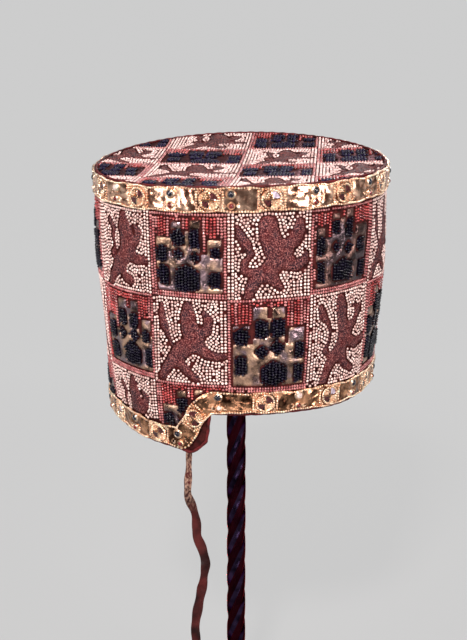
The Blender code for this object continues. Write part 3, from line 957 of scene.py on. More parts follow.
class Sown:
    """Places of the beads sown so far on one square, and whether a new one has room."""

    def __init__(self, nearest):
        self.nearest, self.spots, self.cells = nearest, [], {}

    def cell(self, x, y):
        return int(x // self.nearest), int(y // self.nearest)

    def has_room(self, x, y):
        i, j = self.cell(x, y)
        for a in (i - 1, i, i + 1):
            for b in (j - 1, j, j + 1):
                for u, v in self.cells.get((a, b), ()):
                    if (u - x) ** 2 + (v - y) ** 2 < self.nearest**2:
                        return False
        return True

    def sow(self, x, y):
        self.spots.append((x, y))
        self.cells.setdefault(self.cell(x, y), []).append((x, y))

    def squeeze(self, share):
        """Lets the beads that follow sit closer to the others, by some share."""
        self.nearest *= share
        self.cells = {}
        for x, y in self.spots:
            self.cells.setdefault(self.cell(x, y), []).append((x, y))


def outline_string(sown, field, level, square):
    """Sows pearls one after another along the line at some level outside the figure."""
    across, upward = ceil(square.wide / OUTLINE_CELL), ceil(square.high / OUTLINE_CELL)
    x, y = np.meshgrid(np.linspace(0.0, square.wide, across), np.linspace(0.0, square.high, upward))
    close = np.abs(field(x, y) - level) < OUTLINE_NEAR
    tiny = OUTLINE_CELL / 10.0
    for x0, y0 in zip(x[close], y[close]):
        if not sown.has_room(x0, y0):
            continue
        for way in (1.0, -1.0):
            u, v = float(x0), float(y0)
            for _ in range(OUTLINE_LONGEST):
                gap, east, north = field(np.array([u, u + tiny, u]), np.array([v, v, v + tiny]))
                slope = np.hypot(east - gap, north - gap) + 1e-12
                nx, ny = (east - gap) / slope, (north - gap) / slope
                u, v = u - (gap - level) * nx, v - (gap - level) * ny
                if not (0.0 < u < square.wide and 0.0 < v < square.high and sown.has_room(u, v)):
                    break
                sown.sow(u, v)
                u, v = u - way * ny * PEARL_PITCH, v + way * nx * PEARL_PITCH


def pearl_spots(square, field, chance):
    """Where the pearls of one square go, as x and y on its flat cloth, and their size."""
    sown = Sown(PEARL_NEAREST)
    wide, high = square.wide, square.high

    def row_of(xs, ys):
        xs, ys = np.broadcast_arrays(np.asarray(xs, float), np.asarray(ys, float))
        outside = field(xs, ys) > PEARL_CLEAR
        for x, y in zip(xs[outside], ys[outside]):
            if sown.has_room(x, y):
                sown.sow(float(x), float(y))

    for k in range(PEARL_SIDE_STRINGS):
        ys = np.arange(PEARL_PITCH / 2.0, high, PEARL_PITCH)
        for x in ((k + 0.5) * PEARL_ROW, wide - (k + 0.5) * PEARL_ROW):
            row_of(x, ys + chance.uniform(-PEARL_SLIP, PEARL_SLIP))
    for y in (PEARL_ROW / 2.0, high - PEARL_ROW / 2.0):
        row_of(np.arange(PEARL_PITCH / 2.0, wide, PEARL_PITCH), y)
    outline_string(sown, field, PEARL_CLEAR, square)
    outline_string(sown, field, PEARL_SECOND, square)
    ys = np.arange(PEARL_RADIUS * 0.8, high - PEARL_RADIUS * 0.7, PEARL_SHIFT)
    for k in range(PEARL_SIDE_STRINGS, round(wide / PEARL_ROW)):
        row_of((k + 0.5) * PEARL_ROW * 0.96, ys)
    strung = len(sown.spots)
    sown.squeeze(PEARL_SQUEEZE)
    for x in np.arange(PEARL_RADIUS, wide - PEARL_RADIUS * 0.6, PEARL_HOLE_STEP):
        row_of(x, ys)
    x, y = np.array(sown.spots).T
    size = np.where(np.arange(len(x)) < strung, 1.0, PEARL_SMALL)
    stay = square.free(x, y, BEAD_ROOM)
    return x[stay], y[stay], size[stay]


def bead_shape(sides, rings):
    """A bead that sits in cloth, and its flat layout: rings are radii and heights, from its base up."""
    way = [(cos(tau * k / sides), sin(tau * k / sides)) for k in range(sides + 1)]
    points = [(r * x, r * y, h) for r, h in rings for x, y in way[:-1]]
    points.append((0.0, 0.0, 1.0))
    faces = [tuple(range(sides))[::-1]]
    layout = [[(0.92 + 0.055 * x, 0.08 + 0.055 * y) for x, y in way[-2::-1]]]
    spread = [0.46 * (len(rings) - i) / len(rings) for i in range(len(rings))] + [0.0]

    def flat(i, k):
        return (0.5 + spread[i] * way[k][0], 0.5 + spread[i] * way[k][1])

    for i in range(len(rings)):
        for j in range(sides):
            a, b = i * sides + j, i * sides + (j + 1) % sides
            corners = [flat(i, j), flat(i, j + 1), flat(i + 1, j + 1), flat(i + 1, j)]
            if i + 1 < len(rings):
                faces.append((a, b, b + sides, a + sides))
                layout.append(corners)
            else:
                faces.append((a, b, len(points) - 1))
                layout.append(corners[:2] + corners[3:])
    return np.array(points), faces, layout


def bead_piece(name, shape, spots, size, form, stuff):
    """Many like beads as one mesh; spots are points with directions right, up and out."""
    bead, bead_faces, layout = shape
    where, right, up, out = spots
    local = bead[None] * np.outer(size, form)[:, None, :]
    points = (where[:, None, :] + local[..., 0:1] * right[:, None, :] + local[..., 1:2] * up[:, None, :]
              + local[..., 2:3] * out[:, None, :])
    count = len(where)
    loops = np.concatenate(bead_faces)[None] + len(bead) * np.arange(count)[:, None]
    totals = np.tile([len(face) for face in bead_faces], count)
    mesh = bpy.data.meshes.new(name)
    mesh.vertices.add(count * len(bead))
    mesh.vertices.foreach_set("co", points.ravel())
    mesh.loops.add(loops.size)
    mesh.loops.foreach_set("vertex_index", loops.ravel())
    mesh.polygons.add(len(totals))
    mesh.polygons.foreach_set("loop_start", np.concatenate([[0], np.cumsum(totals)[:-1]]))
    mesh.polygons.foreach_set("loop_total", totals)
    cells = ceil(count**0.5)
    shift = np.stack([np.arange(count) % cells, np.arange(count) // cells], -1)
    flat = np.concatenate(layout)[None] + shift[:, None, :]
    mesh.uv_layers.new(name="OFBake").data.foreach_set("uv", (flat / cells).ravel())
    # Each point's height in its bead, 0 at the base and 1 at the top; the seed pearls read it for their
    # painted shade.
    heights = (bead[:, 2] - bead[:, 2].min()) / np.ptp(bead[:, 2])
    mesh.attributes.new("crown", "FLOAT", "POINT").data.foreach_set("value", np.tile(heights, count))
    mesh.update(calc_edges=True)
    mesh.materials.append(stuff)
    mesh.shade_smooth()
    beads = bpy.data.objects.new(name, mesh)
    bpy.context.scene.collection.objects.link(beads)
    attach(beads, "root")


def laid(square, x, y, lift):
    return square.lie(x, y, np.full(len(x), lift))


def together(parts):
    return [np.concatenate(column) for column in zip(*parts)]


def shade_by_bead(stuff):
    return add_node(stuff, "NewGeometry").outputs["Random Per Island"]


def each_bead(stuff, spread):
    """Makes a finish differ from bead to bead, by some spread of its shade."""
    value = ranged(stuff, shade_by_bead(stuff), 0.0, 1.0, 1.0 - spread, 1.0 + spread)
    shades = stuff.node_tree.nodes["shades"].outputs["Color"]
    own = add_node(stuff, "HueSaturation", Color=shades, Value=value).outputs["Color"]
    fill(stuff, shader_of(stuff), {"Base Color": own})
    return stuff


def seed_pearl(name, dark, light, shine):
    """Pearl with painted shade at its skirt, a dark red-brown where it sits down between its neighbours, and
    clear at its crown.
    """
    stuff = each_bead(shades_of(name, dark, light, 0.003, (0.14, 0.24), shine=shine), 0.2)
    crown = add_node(stuff, "Attribute")
    crown.attribute_name = "crown"
    clear = ranged(stuff, crown.outputs["Fac"], *PEARL_SHADE_HEIGHTS)
    lustre = shader_of(stuff).inputs["Base Color"].links[0].from_socket
    fill(stuff, shader_of(stuff), {"Base Color": blended(stuff, clear, PEARL_PAINTED_SHADE, lustre)})
    return stuff


fresh_pearl = seed_pearl("seed_pearl", (0.50, 0.28, 0.25), (0.92, 0.70, 0.64), 0.9)
worn_pearl = seed_pearl("worn_seed_pearl", (0.42, 0.24, 0.22), (0.90, 0.68, 0.64), 0.4)
pearl_shape = bead_shape(8, ((0.70, -0.75), (1.0, 0.0), (0.74, 0.66)))
chance = np.random.default_rng(PEARL_SEED)
for name, squares, stuff in (("pearls_row_1", ROWS[0], fresh_pearl), ("pearls_row_2", ROWS[1], fresh_pearl),
                             ("pearls_flap", ROWS[2], fresh_pearl), ("pearls_top", TOP_FIELD, worn_pearl)):
    parts, sizes = [], []
    for square in with_figure("lion", squares):
        x, y, size = pearl_spots(square, lion_field(square), chance)
        left = chance.random(len(x)) > PEARLS_LOST
        x = x[left] + chance.normal(0.0, PEARL_STRAY, left.sum())
        parts.append(laid(square, x, y[left], PEARL_LIFT))
        sizes.append(size[left])
    spots = together(parts)
    size = PEARL_RADIUS * np.concatenate(sizes) * chance.uniform(*PEARL_SIZES, len(spots[0]))
    bead_piece(name, pearl_shape, spots, size, PEARL_FORM, stuff)

# Each castle is cut from crumpled gilt membrane and laid between the strings of coral: three
# towers with battlements, and windows that are left open for the glass.
FOIL_RAISE = 0.0007
FOIL_ROUND = 0.0005
FOIL_CELL = 0.00095
FOIL_FOLD = 0.00042
FOIL_FOLDS = (0.011, 0.0065, 0.0041)
CASTLE_FOOT = 0.065
WINDOW_BEND = 0.55
GABLE_PITCH = 0.6
CASTLES = (
    # walls as left, right, top; then square windows, lozenges and gables as left, right, sill, head;
    # all in hundredths of the square
    (
        ((8.5, 29, 71), (31, 44, 90), (31, 68, 80), (55, 68, 92), (8.5, 95, 53), (76, 94, 70)),
        ((32, 48, 61.5, 81), (54.5, 67.5, 60, 82), (10, 23.5, 42, 61), (80, 93, 49, 60), (11, 26, 14, 37.5),
         (78, 94, 14, 32)),
        ((32, 46, 46, 58), (55, 68, 42, 55)),
        ((33, 66, 8, 41),),
    ),
    (
        ((7.5, 21, 78), (30, 41, 93), (30, 62, 87), (51, 62, 96), (7.5, 89, 65), (67, 89, 76)),
        ((30, 41, 69, 85), (50, 61, 64, 85), (70, 83, 43, 60), (10, 20, 13, 38), (75, 87, 12, 32)),
        ((30, 42, 47, 60), (49, 61, 44, 58)),
        ((9, 20.5, 46, 67), (31, 64, 12, 40)),
    ),
    (
        ((10, 33, 64), (40, 56, 88), (40, 76, 78), (63, 76, 88), (10, 96, 50), (80, 94, 68)),
        ((42, 56, 57, 75), (63, 75, 55, 74), (17, 31, 38, 57), (15, 33, 12, 32), (86, 96, 13, 33)),
        ((39, 53, 40, 53), (60, 75, 40, 52)),
        ((82, 93, 41, 55), (47, 78, 12, 39)),
    ),
    (
        ((6, 27, 72), (30, 48, 92), (30, 70, 80), (53, 70, 91), (6, 96, 53), (74, 95, 69)),
        ((32, 48, 59, 78), (52, 69, 60, 79), (82, 94, 36, 53), (10, 23, 20, 40), (82, 95, 10, 29)),
        ((34, 49, 38, 51), (52, 68, 41, 57)),
        ((7, 26, 52, 71), (40, 72, 8, 35)),
    ),
)


def box_gap(x, y, left, right, low, high):
    """Distance from an upright box, less than nothing inside it."""
    beside = np.maximum(left - x, x - right)
    above = np.maximum(low - y, y - high)
    inside = np.minimum(np.maximum(beside, above), 0.0)
    return np.hypot(np.maximum(beside, 0.0), np.maximum(above, 0.0)) + inside


def castle_fields(square):
    """Two distances for a castle: from its walls, and from its openings."""
    wide, high = square.wide, square.high
    walls, windows, lozenges, gables = [np.array(part) / 100.0 for part in square.chart_from(CASTLES)]

    def turned_round(x):
        return wide - x if square.flip < 0 else x

    def window_gap(x, y, left, right, sill, head):
        bend = WINDOW_BEND * min((right - left) / 2.0 * wide, (head - sill) / 2.0 * high)
        left, right = left * wide + bend, right * wide - bend
        return box_gap(x, y, left, right, sill * high + bend, head * high - bend) - bend

    def lozenge_gap(x, y, left, right, sill, head):
        half, rise = (right - left) / 2.0 * wide, (head - sill) / 2.0 * high
        beside, above = np.abs(x - (left + right) / 2.0 * wide), np.abs(y - (sill + head) / 2.0 * high)
        return (beside / half + above / rise - 1.15) * min(half, rise) * 0.75

    def gable_gap(x, y, left, right, sill, head):
        slope = (y - head * high + GABLE_PITCH * np.abs(x - (left + right) / 2.0 * wide)) / 1.17
        return np.maximum(window_gap(x, y, left, right, sill, head), slope)

    def wall_gap(x, y):
        x, foot = turned_round(x), CASTLE_FOOT * high
        gaps = [box_gap(x, y, a * wide, b * wide, foot, top * high) for a, b, top in walls]
        return np.minimum.reduce(gaps)

    def open_gap(x, y):
        x = turned_round(x)
        kinds = ((window_gap, windows), (lozenge_gap, lozenges), (gable_gap, gables))
        return np.minimum.reduce([gap(x, y, *opening) for gap, openings in kinds for opening in openings])

    return wall_gap, open_gap


def folds(x, y, turn, lengths):
    """Creased relief between 0 and 1, flat facets that meet at sharp folds; turn gives its own layout."""
    total = 0.0 * x
    for k, length in enumerate(lengths):
        way = 2.4 * k + 1.7 * turn + 0.4
        phase = 2.0 * (x * np.cos(way) + y * np.sin(way)) / length + 0.8 * k + turn
        total = total + np.abs(phase % 2.0 - 1.0)
    return total / len(lengths)


def foil_patch(square):
    """The foil of one castle, bellied up and crumpled, with holes for its openings."""
    wall_gap, open_gap = castle_fields(square)
    turn = sum(map(ord, square.name)) % 17

    def field(x, y):
        return np.maximum(wall_gap(x, y), -open_gap(x, y))

    def raise_of(x, y, inward):
        swell = FOIL_RAISE * (1.0 - np.exp(-np.maximum(inward, 0.0) / FOIL_ROUND))
        return swell + FOIL_FOLD * (folds(x, y, turn, FOIL_FOLDS) - 0.3)

    return figure_patch(square, field, FOIL_CELL, raise_of)


def gilt_membrane(name, dark, light):
    stuff = shades_of(name, dark, light, 0.008, (0.2, 0.42), 0.85)
    specked(stuff, 0.011, [shade * light[0] for shade in (0.36, 0.25, 0.28)], 0.48, 0.61)
    return grained(stuff, (0.0035, 0.0009), (0.0011, 0.0003))


WALL_CASTLES = with_figure("castle", WALL_FIELD)
TOP_CASTLES = with_figure("castle", TOP_FIELD)
foil = gilt_membrane("gilt_membrane", (0.042, 0.020, 0.017), (0.60, 0.385, 0.265))
dull_foil = gilt_membrane("dull_gilt_membrane", (0.030, 0.015, 0.016), (0.27, 0.15, 0.125))
# The top's castles get a darker copy of the gilt membrane: painted shade on the top of the cap.
top_shade_foil = gilt_membrane("worn_gilt_membrane", (0.020, 0.010, 0.016), (0.11, 0.050, 0.045))
fill(top_shade_foil, shader_of(top_shade_foil), {"Specular Tint": (0.40, 0.20, 0.24, 1.0)})
for name, squares, stuff in (("castle_walls", [s for s in WALL_CASTLES if s.turn % 4 != 1], foil),
                             ("dull_castle_walls", [s for s in WALL_CASTLES if s.turn % 4 == 1], dull_foil),
                             ("top_castle_walls", TOP_CASTLES, top_shade_foil)):
    join_patches(name, [foil_patch(s) for s in squares], stuff)

# The openings are filled with short strings of blue-black glass beads, laid on a ground of silk that is made
# near-black to paint the shade in the gaps between them. Some of the beads are still bright and the rest
# have gone dull.
GROUND_CELL = 0.0012
GROUND_UNDER = 0.0004
GROUND_RAISE = 0.00022
GLASS_FORM = (0.00100, 0.00084, 0.00100)
GLASS_SIZES = (0.84, 1.14)
GLASS_LIFT = 0.0011
GLASS_GAP_ACROSS = 0.0020
GLASS_GAP_ALONG = 0.00172
GLASS_STRAY = 0.00018
GLASS_SPILL = 0.0002
GLASS_OVERHANG = 0.0008
GLASS_SEED = 36


def shade_ground_patch(square):
    """The silk ground of one castle's openings, near-black as painted shade for the gaps between its beads,
    its edge under the foil.
    """
    wall_gap, open_gap = castle_fields(square)

    def field(x, y):
        return np.maximum(wall_gap(x, y), open_gap(x, y) - GROUND_UNDER)

    def raise_of(x, y, inward):
        return 0.0 * x + GROUND_RAISE

    return figure_patch(square, field, GROUND_CELL, raise_of)


def glass_spots(square, chance):
    wall_gap, open_gap = castle_fields(square)
    found = []
    for x in np.arange(GLASS_GAP_ACROSS / 2.0, square.wide, GLASS_GAP_ACROSS):
        ys = np.arange(chance.uniform(0.0, GLASS_GAP_ALONG), square.high, GLASS_GAP_ALONG)
        xs = x + chance.normal(0.0, GLASS_STRAY, len(ys))
        inside = (open_gap(xs, ys) < GLASS_SPILL) & (wall_gap(xs, ys) < GLASS_OVERHANG)
        found.append(np.stack([xs[inside], ys[inside]]))
    x, y = np.concatenate(found, axis=1)
    stay = square.free(x, y, BEAD_ROOM)
    return x[stay], y[stay]


def blue_black_glass(name, dark, light, shine):
    stuff = each_bead(shades_of(name, dark, light, 0.003, (0.12, 0.2), shine=shine), 0.4)
    fill(stuff, shader_of(stuff), {"Roughness": ranged(stuff, shade_by_bead(stuff), 0.0, 1.0, 0.03, 0.25)})
    return stuff


# The window ground's near-black colour is painted shade for the gaps between the glass beads.
window_silk = shades_of("window_silk", (0.0015, 0.001, 0.003), (0.007, 0.003, 0.009), 0.003, (0.7, 0.9),
                        shine=0.05)
ground = [shade_ground_patch(square) for square in WALL_CASTLES + TOP_CASTLES]
join_patches("window_ground", ground, window_silk)
deep_glass = blue_black_glass("blue_black_glass", (0.0008, 0.0006, 0.002), (0.005, 0.003, 0.014), 0.3)
worn_glass = blue_black_glass("worn_blue_glass", (0.003, 0.002, 0.009), (0.016, 0.010, 0.040), 0.10)
glass_shape = bead_shape(6, ((0.90, -0.5), (1.0, 0.15)))
for name, squares, stuff in (("wall_glass", WALL_CASTLES, deep_glass),
                             ("top_glass", TOP_CASTLES, worn_glass)):
    chance = np.random.default_rng(GLASS_SEED)
    spots = together([laid(square, *glass_spots(square, chance), GLASS_LIFT) for square in squares])
    size = chance.uniform(*GLASS_SIZES, len(spots[0]))
    bead_piece(name, glass_shape, spots, size, GLASS_FORM, stuff)

# Coral fills the rest of a castle's square: small red beads strung close and couched in upright
# strings. Paler, faded strings edge the square and lie across its top and foot.
CORAL_WIDE = 0.00090
CORAL_LONG = 0.00078
CORAL_FORM = (CORAL_WIDE, CORAL_LONG, CORAL_WIDE * 1.1)
CORAL_SIZES = (0.92, 1.06)
CORAL_STRING = 0.00200
CORAL_PITCH = 0.00170
CORAL_CROSS = 0.00165
CORAL_CLEAR = 0.0008
CORAL_ROOM = 0.0005
CORAL_LIFT = 0.0006
CORAL_STRAY = 0.00005
CORAL_SWAY = 0.00012
CORAL_FADED = 0.16
CORAL_LOST = 0.012
CORAL_SEED = 1232


def coral_spots(square, wall_gap, chance):
    """Places of red and of faded coral beads, and of the faded ones that lie across."""
    wide, high = square.wide, square.high
    strings = round(wide / CORAL_STRING)
    red_ones, faded_ones, across = [], [], []
    low, top = 2.0 * CORAL_CROSS, high - CORAL_CROSS - CORAL_LONG * 0.6
    for k in range(strings):
        x = (k + 0.5) * wide / strings
        ys = np.arange(low + chance.uniform(0.3, 0.9) * CORAL_PITCH, top, CORAL_PITCH)
        xs = x + CORAL_SWAY * np.sin(ys * 300.0 + k) + chance.normal(0.0, CORAL_STRAY, len(ys))
        outside = wall_gap(xs, ys) > CORAL_CLEAR
        faded = k in (strings - 1, strings - 2) or k == 0 or chance.random() < CORAL_FADED
        (faded_ones if faded else red_ones).append(np.stack([xs[outside], ys[outside]]))
    for y in (0.5 * CORAL_CROSS, 1.5 * CORAL_CROSS, high - 0.5 * CORAL_CROSS):
        xs = np.arange(CORAL_PITCH / 2.0, wide, CORAL_PITCH)
        across.append(np.stack([xs, y + chance.normal(0.0, CORAL_STRAY, len(xs))]))
    kept = []
    for parts in (red_ones, faded_ones, across):
        x, y = np.concatenate(parts, axis=1)
        stay = square.free(x, y, CORAL_ROOM) & (chance.random(len(x)) > CORAL_LOST)
        kept.append((x[stay], y[stay]))
    return kept


def coral(name, dark, light):
    return each_bead(shades_of(name, dark, light, 0.006, (0.15, 0.32), shine=0.6, coat=0.7), 0.3)


red_coral = coral("red_coral", (0.15, 0.010, 0.012), (0.46, 0.058, 0.055))
faded_coral = coral("faded_coral", (0.24, 0.045, 0.05), (0.52, 0.20, 0.19))
coral_shape = bead_shape(6, ((0.90, -0.4), (1.0, 0.12)))
chance = np.random.default_rng(CORAL_SEED)
for name, squares in (("wall_coral", UPPER_ROWS), ("flap_and_top_coral", FLAP_AND_TOP)):
    red_parts, faded_parts = [], []
    for square in with_figure("castle", squares):
        red_ones, faded_ones, across = coral_spots(square, castle_fields(square)[0], chance)
        red_parts.append(laid(square, *red_ones, CORAL_LIFT))
        faded_parts.append(laid(square, *faded_ones, CORAL_LIFT))
        where, right, up, out = laid(square, *across, CORAL_LIFT)
        faded_parts.append((where, up, -right, out))
    for kind, parts, stuff in (("red", red_parts, red_coral), ("faded", faded_parts, faded_coral)):
        spots = together(parts)
        size = chance.uniform(*CORAL_SIZES, len(spots[0]))
        bead_piece(f"{name}_{kind}", coral_shape, spots, size, CORAL_FORM, stuff)

# A gilt band runs round the top edge and another along the hem and its steps. Each is a strip of thin
# gilt copper, dented and creased between its settings, and sewn down along both edges.
BAND_SHEET = 0.0005
BAND_STEP = 0.00105
BAND_ACROSS = 15
PLATE_SWELL = 0.0004
PLATE_FOLD = 0.00120
PLATE_FOLDS = (0.0100, 0.0063, 0.0041)
PLATE_RISE = 0.0012
PLATE_LEVEL = 0.35
PLATE_SLOPE = 3.5
SETTLE = 0.00008
SETTLE_PACE = (2100.0, 1900.0)
PLATE_TURN = 1.37
PLATE_TURNS_ROUND = 11.0
REPEATS = 14
ROUNDEL_RADIUS = 0.0060
PAIR_SPREAD = 0.0066
ROUNDEL_ROOM = 0.0070
PAIR_ROOM = 0.0030
RIM_START = 0.0142
TOP_STATIONS = 180
EDGE_WANDER = (0.00038, 0.00024)
STRAYS = (
    # top pair, top roundel, rim pair, rim roundel: how far each lies to the right, in hundredths of a repeat
    (-14, 7, 0, 0),
    (2, -4, -17, -15),
    (-1, 2, -10, 3),
    (3, 0, 2, -3),
    (-2, 3, 0, 2),
    (4, -2, -3, 0),
    (0, 2, 2, -2),
    (-3, 0, 0, 3),
    (2, -3, 2, 0),
    (0, 2, -2, 2),
    (-4, 0, 3, -2),
    (2, -2, 0, 2),
    (6, 1, -2, 0),
    (2, -10, 3, 2),
)


class Band:
    """A gilt band laid out flat: s is the way along its middle line, t the way up across it."""

    def __init__(self, name, width, path, start, columns, shares):
        self.name, self.width = name, width
        self.path = np.array(path + [(path[0][0] + tau, path[0][1])])
        steps = np.hypot(*np.diff(self.path * (HEM_RADIUS, 1.0), axis=0).T)
        self.way = np.concatenate([[0.0], np.cumsum(steps)])
        self.length = self.way[-1]
        front = np.interp(0.0, self.path[:, 0], self.way) + start

        def settings(column, share):
            return [(front + (row[column] / 100.0 + share - k) / REPEATS * self.length) % self.length
                    for k, row in enumerate(STRAYS)]

        self.pairs = sorted(settings(columns[0], shares[0]))
        self.roundels = settings(columns[1], shares[1])

    def middle(self, s):
        turns = np.floor(np.asarray(s) / self.length)
        way = np.asarray(s) - turns * self.length
        angle = np.interp(way, self.way, self.path[:, 0]) + turns * tau
        return angle * HEM_RADIUS, np.interp(way, self.way, self.path[:, 1])

    def lie(self, s, t, lift):
        """Points on the band at some lift over its back, with the directions along, across and out."""
        reach = self.width / 3.0
        before, after = self.middle(s - reach), self.middle(s + reach)
        run = unit(np.stack([after[0] - before[0], after[1] - before[1]], -1))
        x, z = self.middle(s)
        x, z = x - run[..., 1] * t, z + run[..., 0] * t
        points, right, up, out = wall_lie(x / HEM_RADIUS, z, np.asarray(lift) + CLOTH_SINK + GAP)
        along = right * run[..., :1] + up * run[..., 1:]
        return points, along, np.cross(out, along), out

    def gap_to(self, s, places):
        turn = (np.asarray(s)[..., None] - np.array(places) + self.length / 2.0) % self.length
        return np.abs(turn - self.length / 2.0).min(axis=-1)

    def plate_share(self, s):
        """1 in the middle of a plain plate, 0 where a roundel or a pair of stones sits."""
        beside_pair = self.gap_to(s, self.pairs) - PAIR_ROOM
        inward = np.minimum(self.gap_to(s, self.roundels) - ROUNDEL_ROOM, beside_pair)
        return np.clip(inward / PLATE_RISE, 0.0, 1.0)

    def edge(self, s, side):
        """How far out an edge lies: the strip was cut by eye, so its edges wander a little."""
        way = tau * np.asarray(s) / self.length
        long, short = EDGE_WANDER
        wander = long * np.sin(17.0 * way + 2.0 * side) + short * np.sin(43.0 * way - side)
        return side * self.width / 2.0 + wander

    def across(self, s, share):
        """A line along the band, at a share from -1 on its lower edge to 1 on its upper one."""
        return (self.edge(s, 1.0) * (1.0 + share) + self.edge(s, -1.0) * (1.0 - share)) / 2.0

    def plate_turn(self, s):
        """How the folds of each plate are turned, each one on from the plate before."""
        marks = np.sort(self.pairs + self.roundels)
        return np.searchsorted(marks, s) % len(marks) * PLATE_TURN % PLATE_TURNS_ROUND

    def make_sheet(self, stuff):
        """The strip itself: a face that swells and folds between its settings, over a flat back."""
        stations = round(self.length / BAND_STEP)
        s = self.length * np.arange(stations) / stations
        rows = []
        for share in np.linspace(-1.0, 1.0, BAND_ACROSS):
            t = self.across(s, share)
            plate = self.plate_share(s) * np.clip((1.0 - abs(share)) * PLATE_SLOPE, 0.0, 1.0)
            relief = folds(s, t, self.plate_turn(s), PLATE_FOLDS) - PLATE_LEVEL
            settle = SETTLE * np.sin(s * SETTLE_PACE[0]) * np.sin(t * SETTLE_PACE[1]) * (1.0 - plate)
            lift = BAND_SHEET + plate * (PLATE_SWELL + PLATE_FOLD * relief) + settle
            rows.append(self.lie(s, t, lift)[0])
        for share in (1.0, 0.5, -0.5, -1.0):
            rows.append(self.lie(s, self.across(s, share), np.zeros(stations))[0])
        points, faces = np.stack(rows, axis=1).reshape(-1, 3), tube_faces(stations, len(rows), closed=True)
        sheet = add_piece(self.name + "_gilt_sheet", points, faces, stuff, 28.0)
        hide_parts(self.name)


def gilt_sheet(name, dark, light):
    stuff = shades_of(name, dark, light, 0.006, (0.13, 0.32), 1.0)
    return grained(stuff, (0.0028, 0.00018), (0.0009, 0.00005))


top_middle = [(a, float(rim_height(a)) - TOP_BAND / 2.0) for a in round_once(TOP_STATIONS)]
top_band = Band("top_band", TOP_BAND, top_middle, 0.0, (0, 1), (0.0, -0.5))
rim_band = Band("rim_band", RIM_BAND, RIM_LINE, RIM_START, (2, 3), (0.5, 0.0))
top_band.make_sheet(gilt_sheet("gilt_copper", (0.45, 0.19, 0.12), (0.98, 0.64, 0.46)))
rim_band.make_sheet(gilt_sheet("worn_gilt_copper", (0.085, 0.030, 0.016), (0.82, 0.42, 0.235)))

# Beaded gilt wire edges both bands, stands upright on either side of each roundel, and rings it,
# with gilt grains in the corners outside the ring and in two of the quarters within.
WIRE_BEAD = 0.00076
WIRE_PITCH = 0.00156
WIRE_INSET = 0.0006
WIRE_LIFT = BAND_SHEET + 0.0004
WIRE_SIZES = (0.9, 1.1)
WIRE_SEED = 1211
RING_BEADS = 22
RING_LIFT = 0.0013
UPRIGHT_AT = ROUNDEL_ROOM + 0.0001
CORNER_INSET = 0.001
GRAIN = 0.00055
GRAIN_LIFT = BAND_SHEET + 0.00015
GRAIN_ROWS = (0.00122, 0.00106)
QUARTER_INSET = 0.0008
QUARTER_RADIUS = 0.0044
CORNER_GRAINS = (
    # x, y from the roundel's middle, in one of its four corners
    (0.0060, 0.0060),
    (0.0050, 0.0060),
    (0.0060, 0.0050),
    (0.0057, 0.0039),
    (0.0039, 0.0058),
    (0.0049, 0.0049),
)


def quarter_grains():
    """Grains that fill the gilt quarters of a roundel, upper left and lower right, in close rows."""
    found = []
    for row in range(-5, 6):
        for column in range(-5, 6):
            x, y = (column + 0.5 * (row % 2)) * GRAIN_ROWS[0], row * GRAIN_ROWS[1]
            if x * y < 0.0 and min(abs(x), abs(y)) > QUARTER_INSET and np.hypot(x, y) < QUARTER_RADIUS:
                found.append((x, y))
    return found


def make_wires(band, stuff):
    rows, sizes, lifts = [], [], []

    def string(s, t, size, lift):
        rows.append(np.stack([s, t]))
        sizes.append(np.full(len(s), size))
        lifts.append(np.full(len(s), lift))

    edge_beads = round(band.length / WIRE_PITCH)
    edge = np.arange(edge_beads) * band.length / edge_beads
    for side in (-1.0, 1.0):
        string(edge, band.edge(edge, side) - side * WIRE_INSET, WIRE_BEAD, WIRE_LIFT)
    count = int((band.width - 2.0 * WIRE_INSET) / WIRE_PITCH)
    upright = (np.arange(1, count) - count / 2.0) * WIRE_PITCH
    for place in band.roundels:
        for side in (-1.0, 1.0):
            beside = place + side * UPRIGHT_AT
            string(beside + 0.0 * upright, upright, WIRE_BEAD, WIRE_LIFT)
    turn, ring = round_once(RING_BEADS), ROUNDEL_RADIUS - WIRE_BEAD
    corners = [(side * a, end * b) for a, b in CORNER_GRAINS for side in (-1, 1) for end in (-1, 1)]
    corners = np.array([spot for spot in corners if abs(spot[1]) < band.width / 2.0 - CORNER_INSET]).T
    quarters = np.array(quarter_grains()).T
    for place in band.roundels:
        string(place + ring * np.cos(turn), ring * np.sin(turn), WIRE_BEAD, RING_LIFT)
        string(place + corners[0], corners[1], GRAIN, GRAIN_LIFT)
        string(place + quarters[0], quarters[1], GRAIN, RING_LIFT)
    spots = band.lie(*np.concatenate(rows, axis=1), np.concatenate(lifts))
    chance = np.random.default_rng(WIRE_SEED)
    size = np.concatenate(sizes) * chance.uniform(*WIRE_SIZES, len(spots[0]))
    shape = bead_shape(6, ((0.9, -0.5), (1.0, 0.1)))
    bead_piece(band.name + "_beaded_wire", shape, spots, size, EVENLY, stuff)


wire = shades_of("gilt_wire", (0.80, 0.48, 0.31), (1.0, 0.82, 0.64), 0.004, (0.25, 0.4), 1.0)
each_bead(wire, 0.25)
make_wires(top_band, wire)
make_wires(rim_band, wire)

# Each roundel is a small quartered shield: two fields of dark red enamel and two of gold filigree,
# parted by a cross of flat wire on a round gilt plate. Here and there one enamel is a pale one.
ROUNDEL_THICK = 0.0012
ROUNDEL_LIFT = 0.0003
ROUNDEL_SIDES = 48
CROSS_HALF = 0.00045
FIELD_RADIUS = 0.0046
FIELD_RINGS = 9
FIELD_LEVEL = 0.0007
ENAMEL_LEVEL = 0.00075
ENAMEL_DOME = 0.0002
ROUNDEL_EDGE = (
    # radius, height
    (0.0059, 0.0002),
    (ROUNDEL_RADIUS, 0.0004),
    (0.0058, 0.0009),
    (0.0049, 0.00095),
)


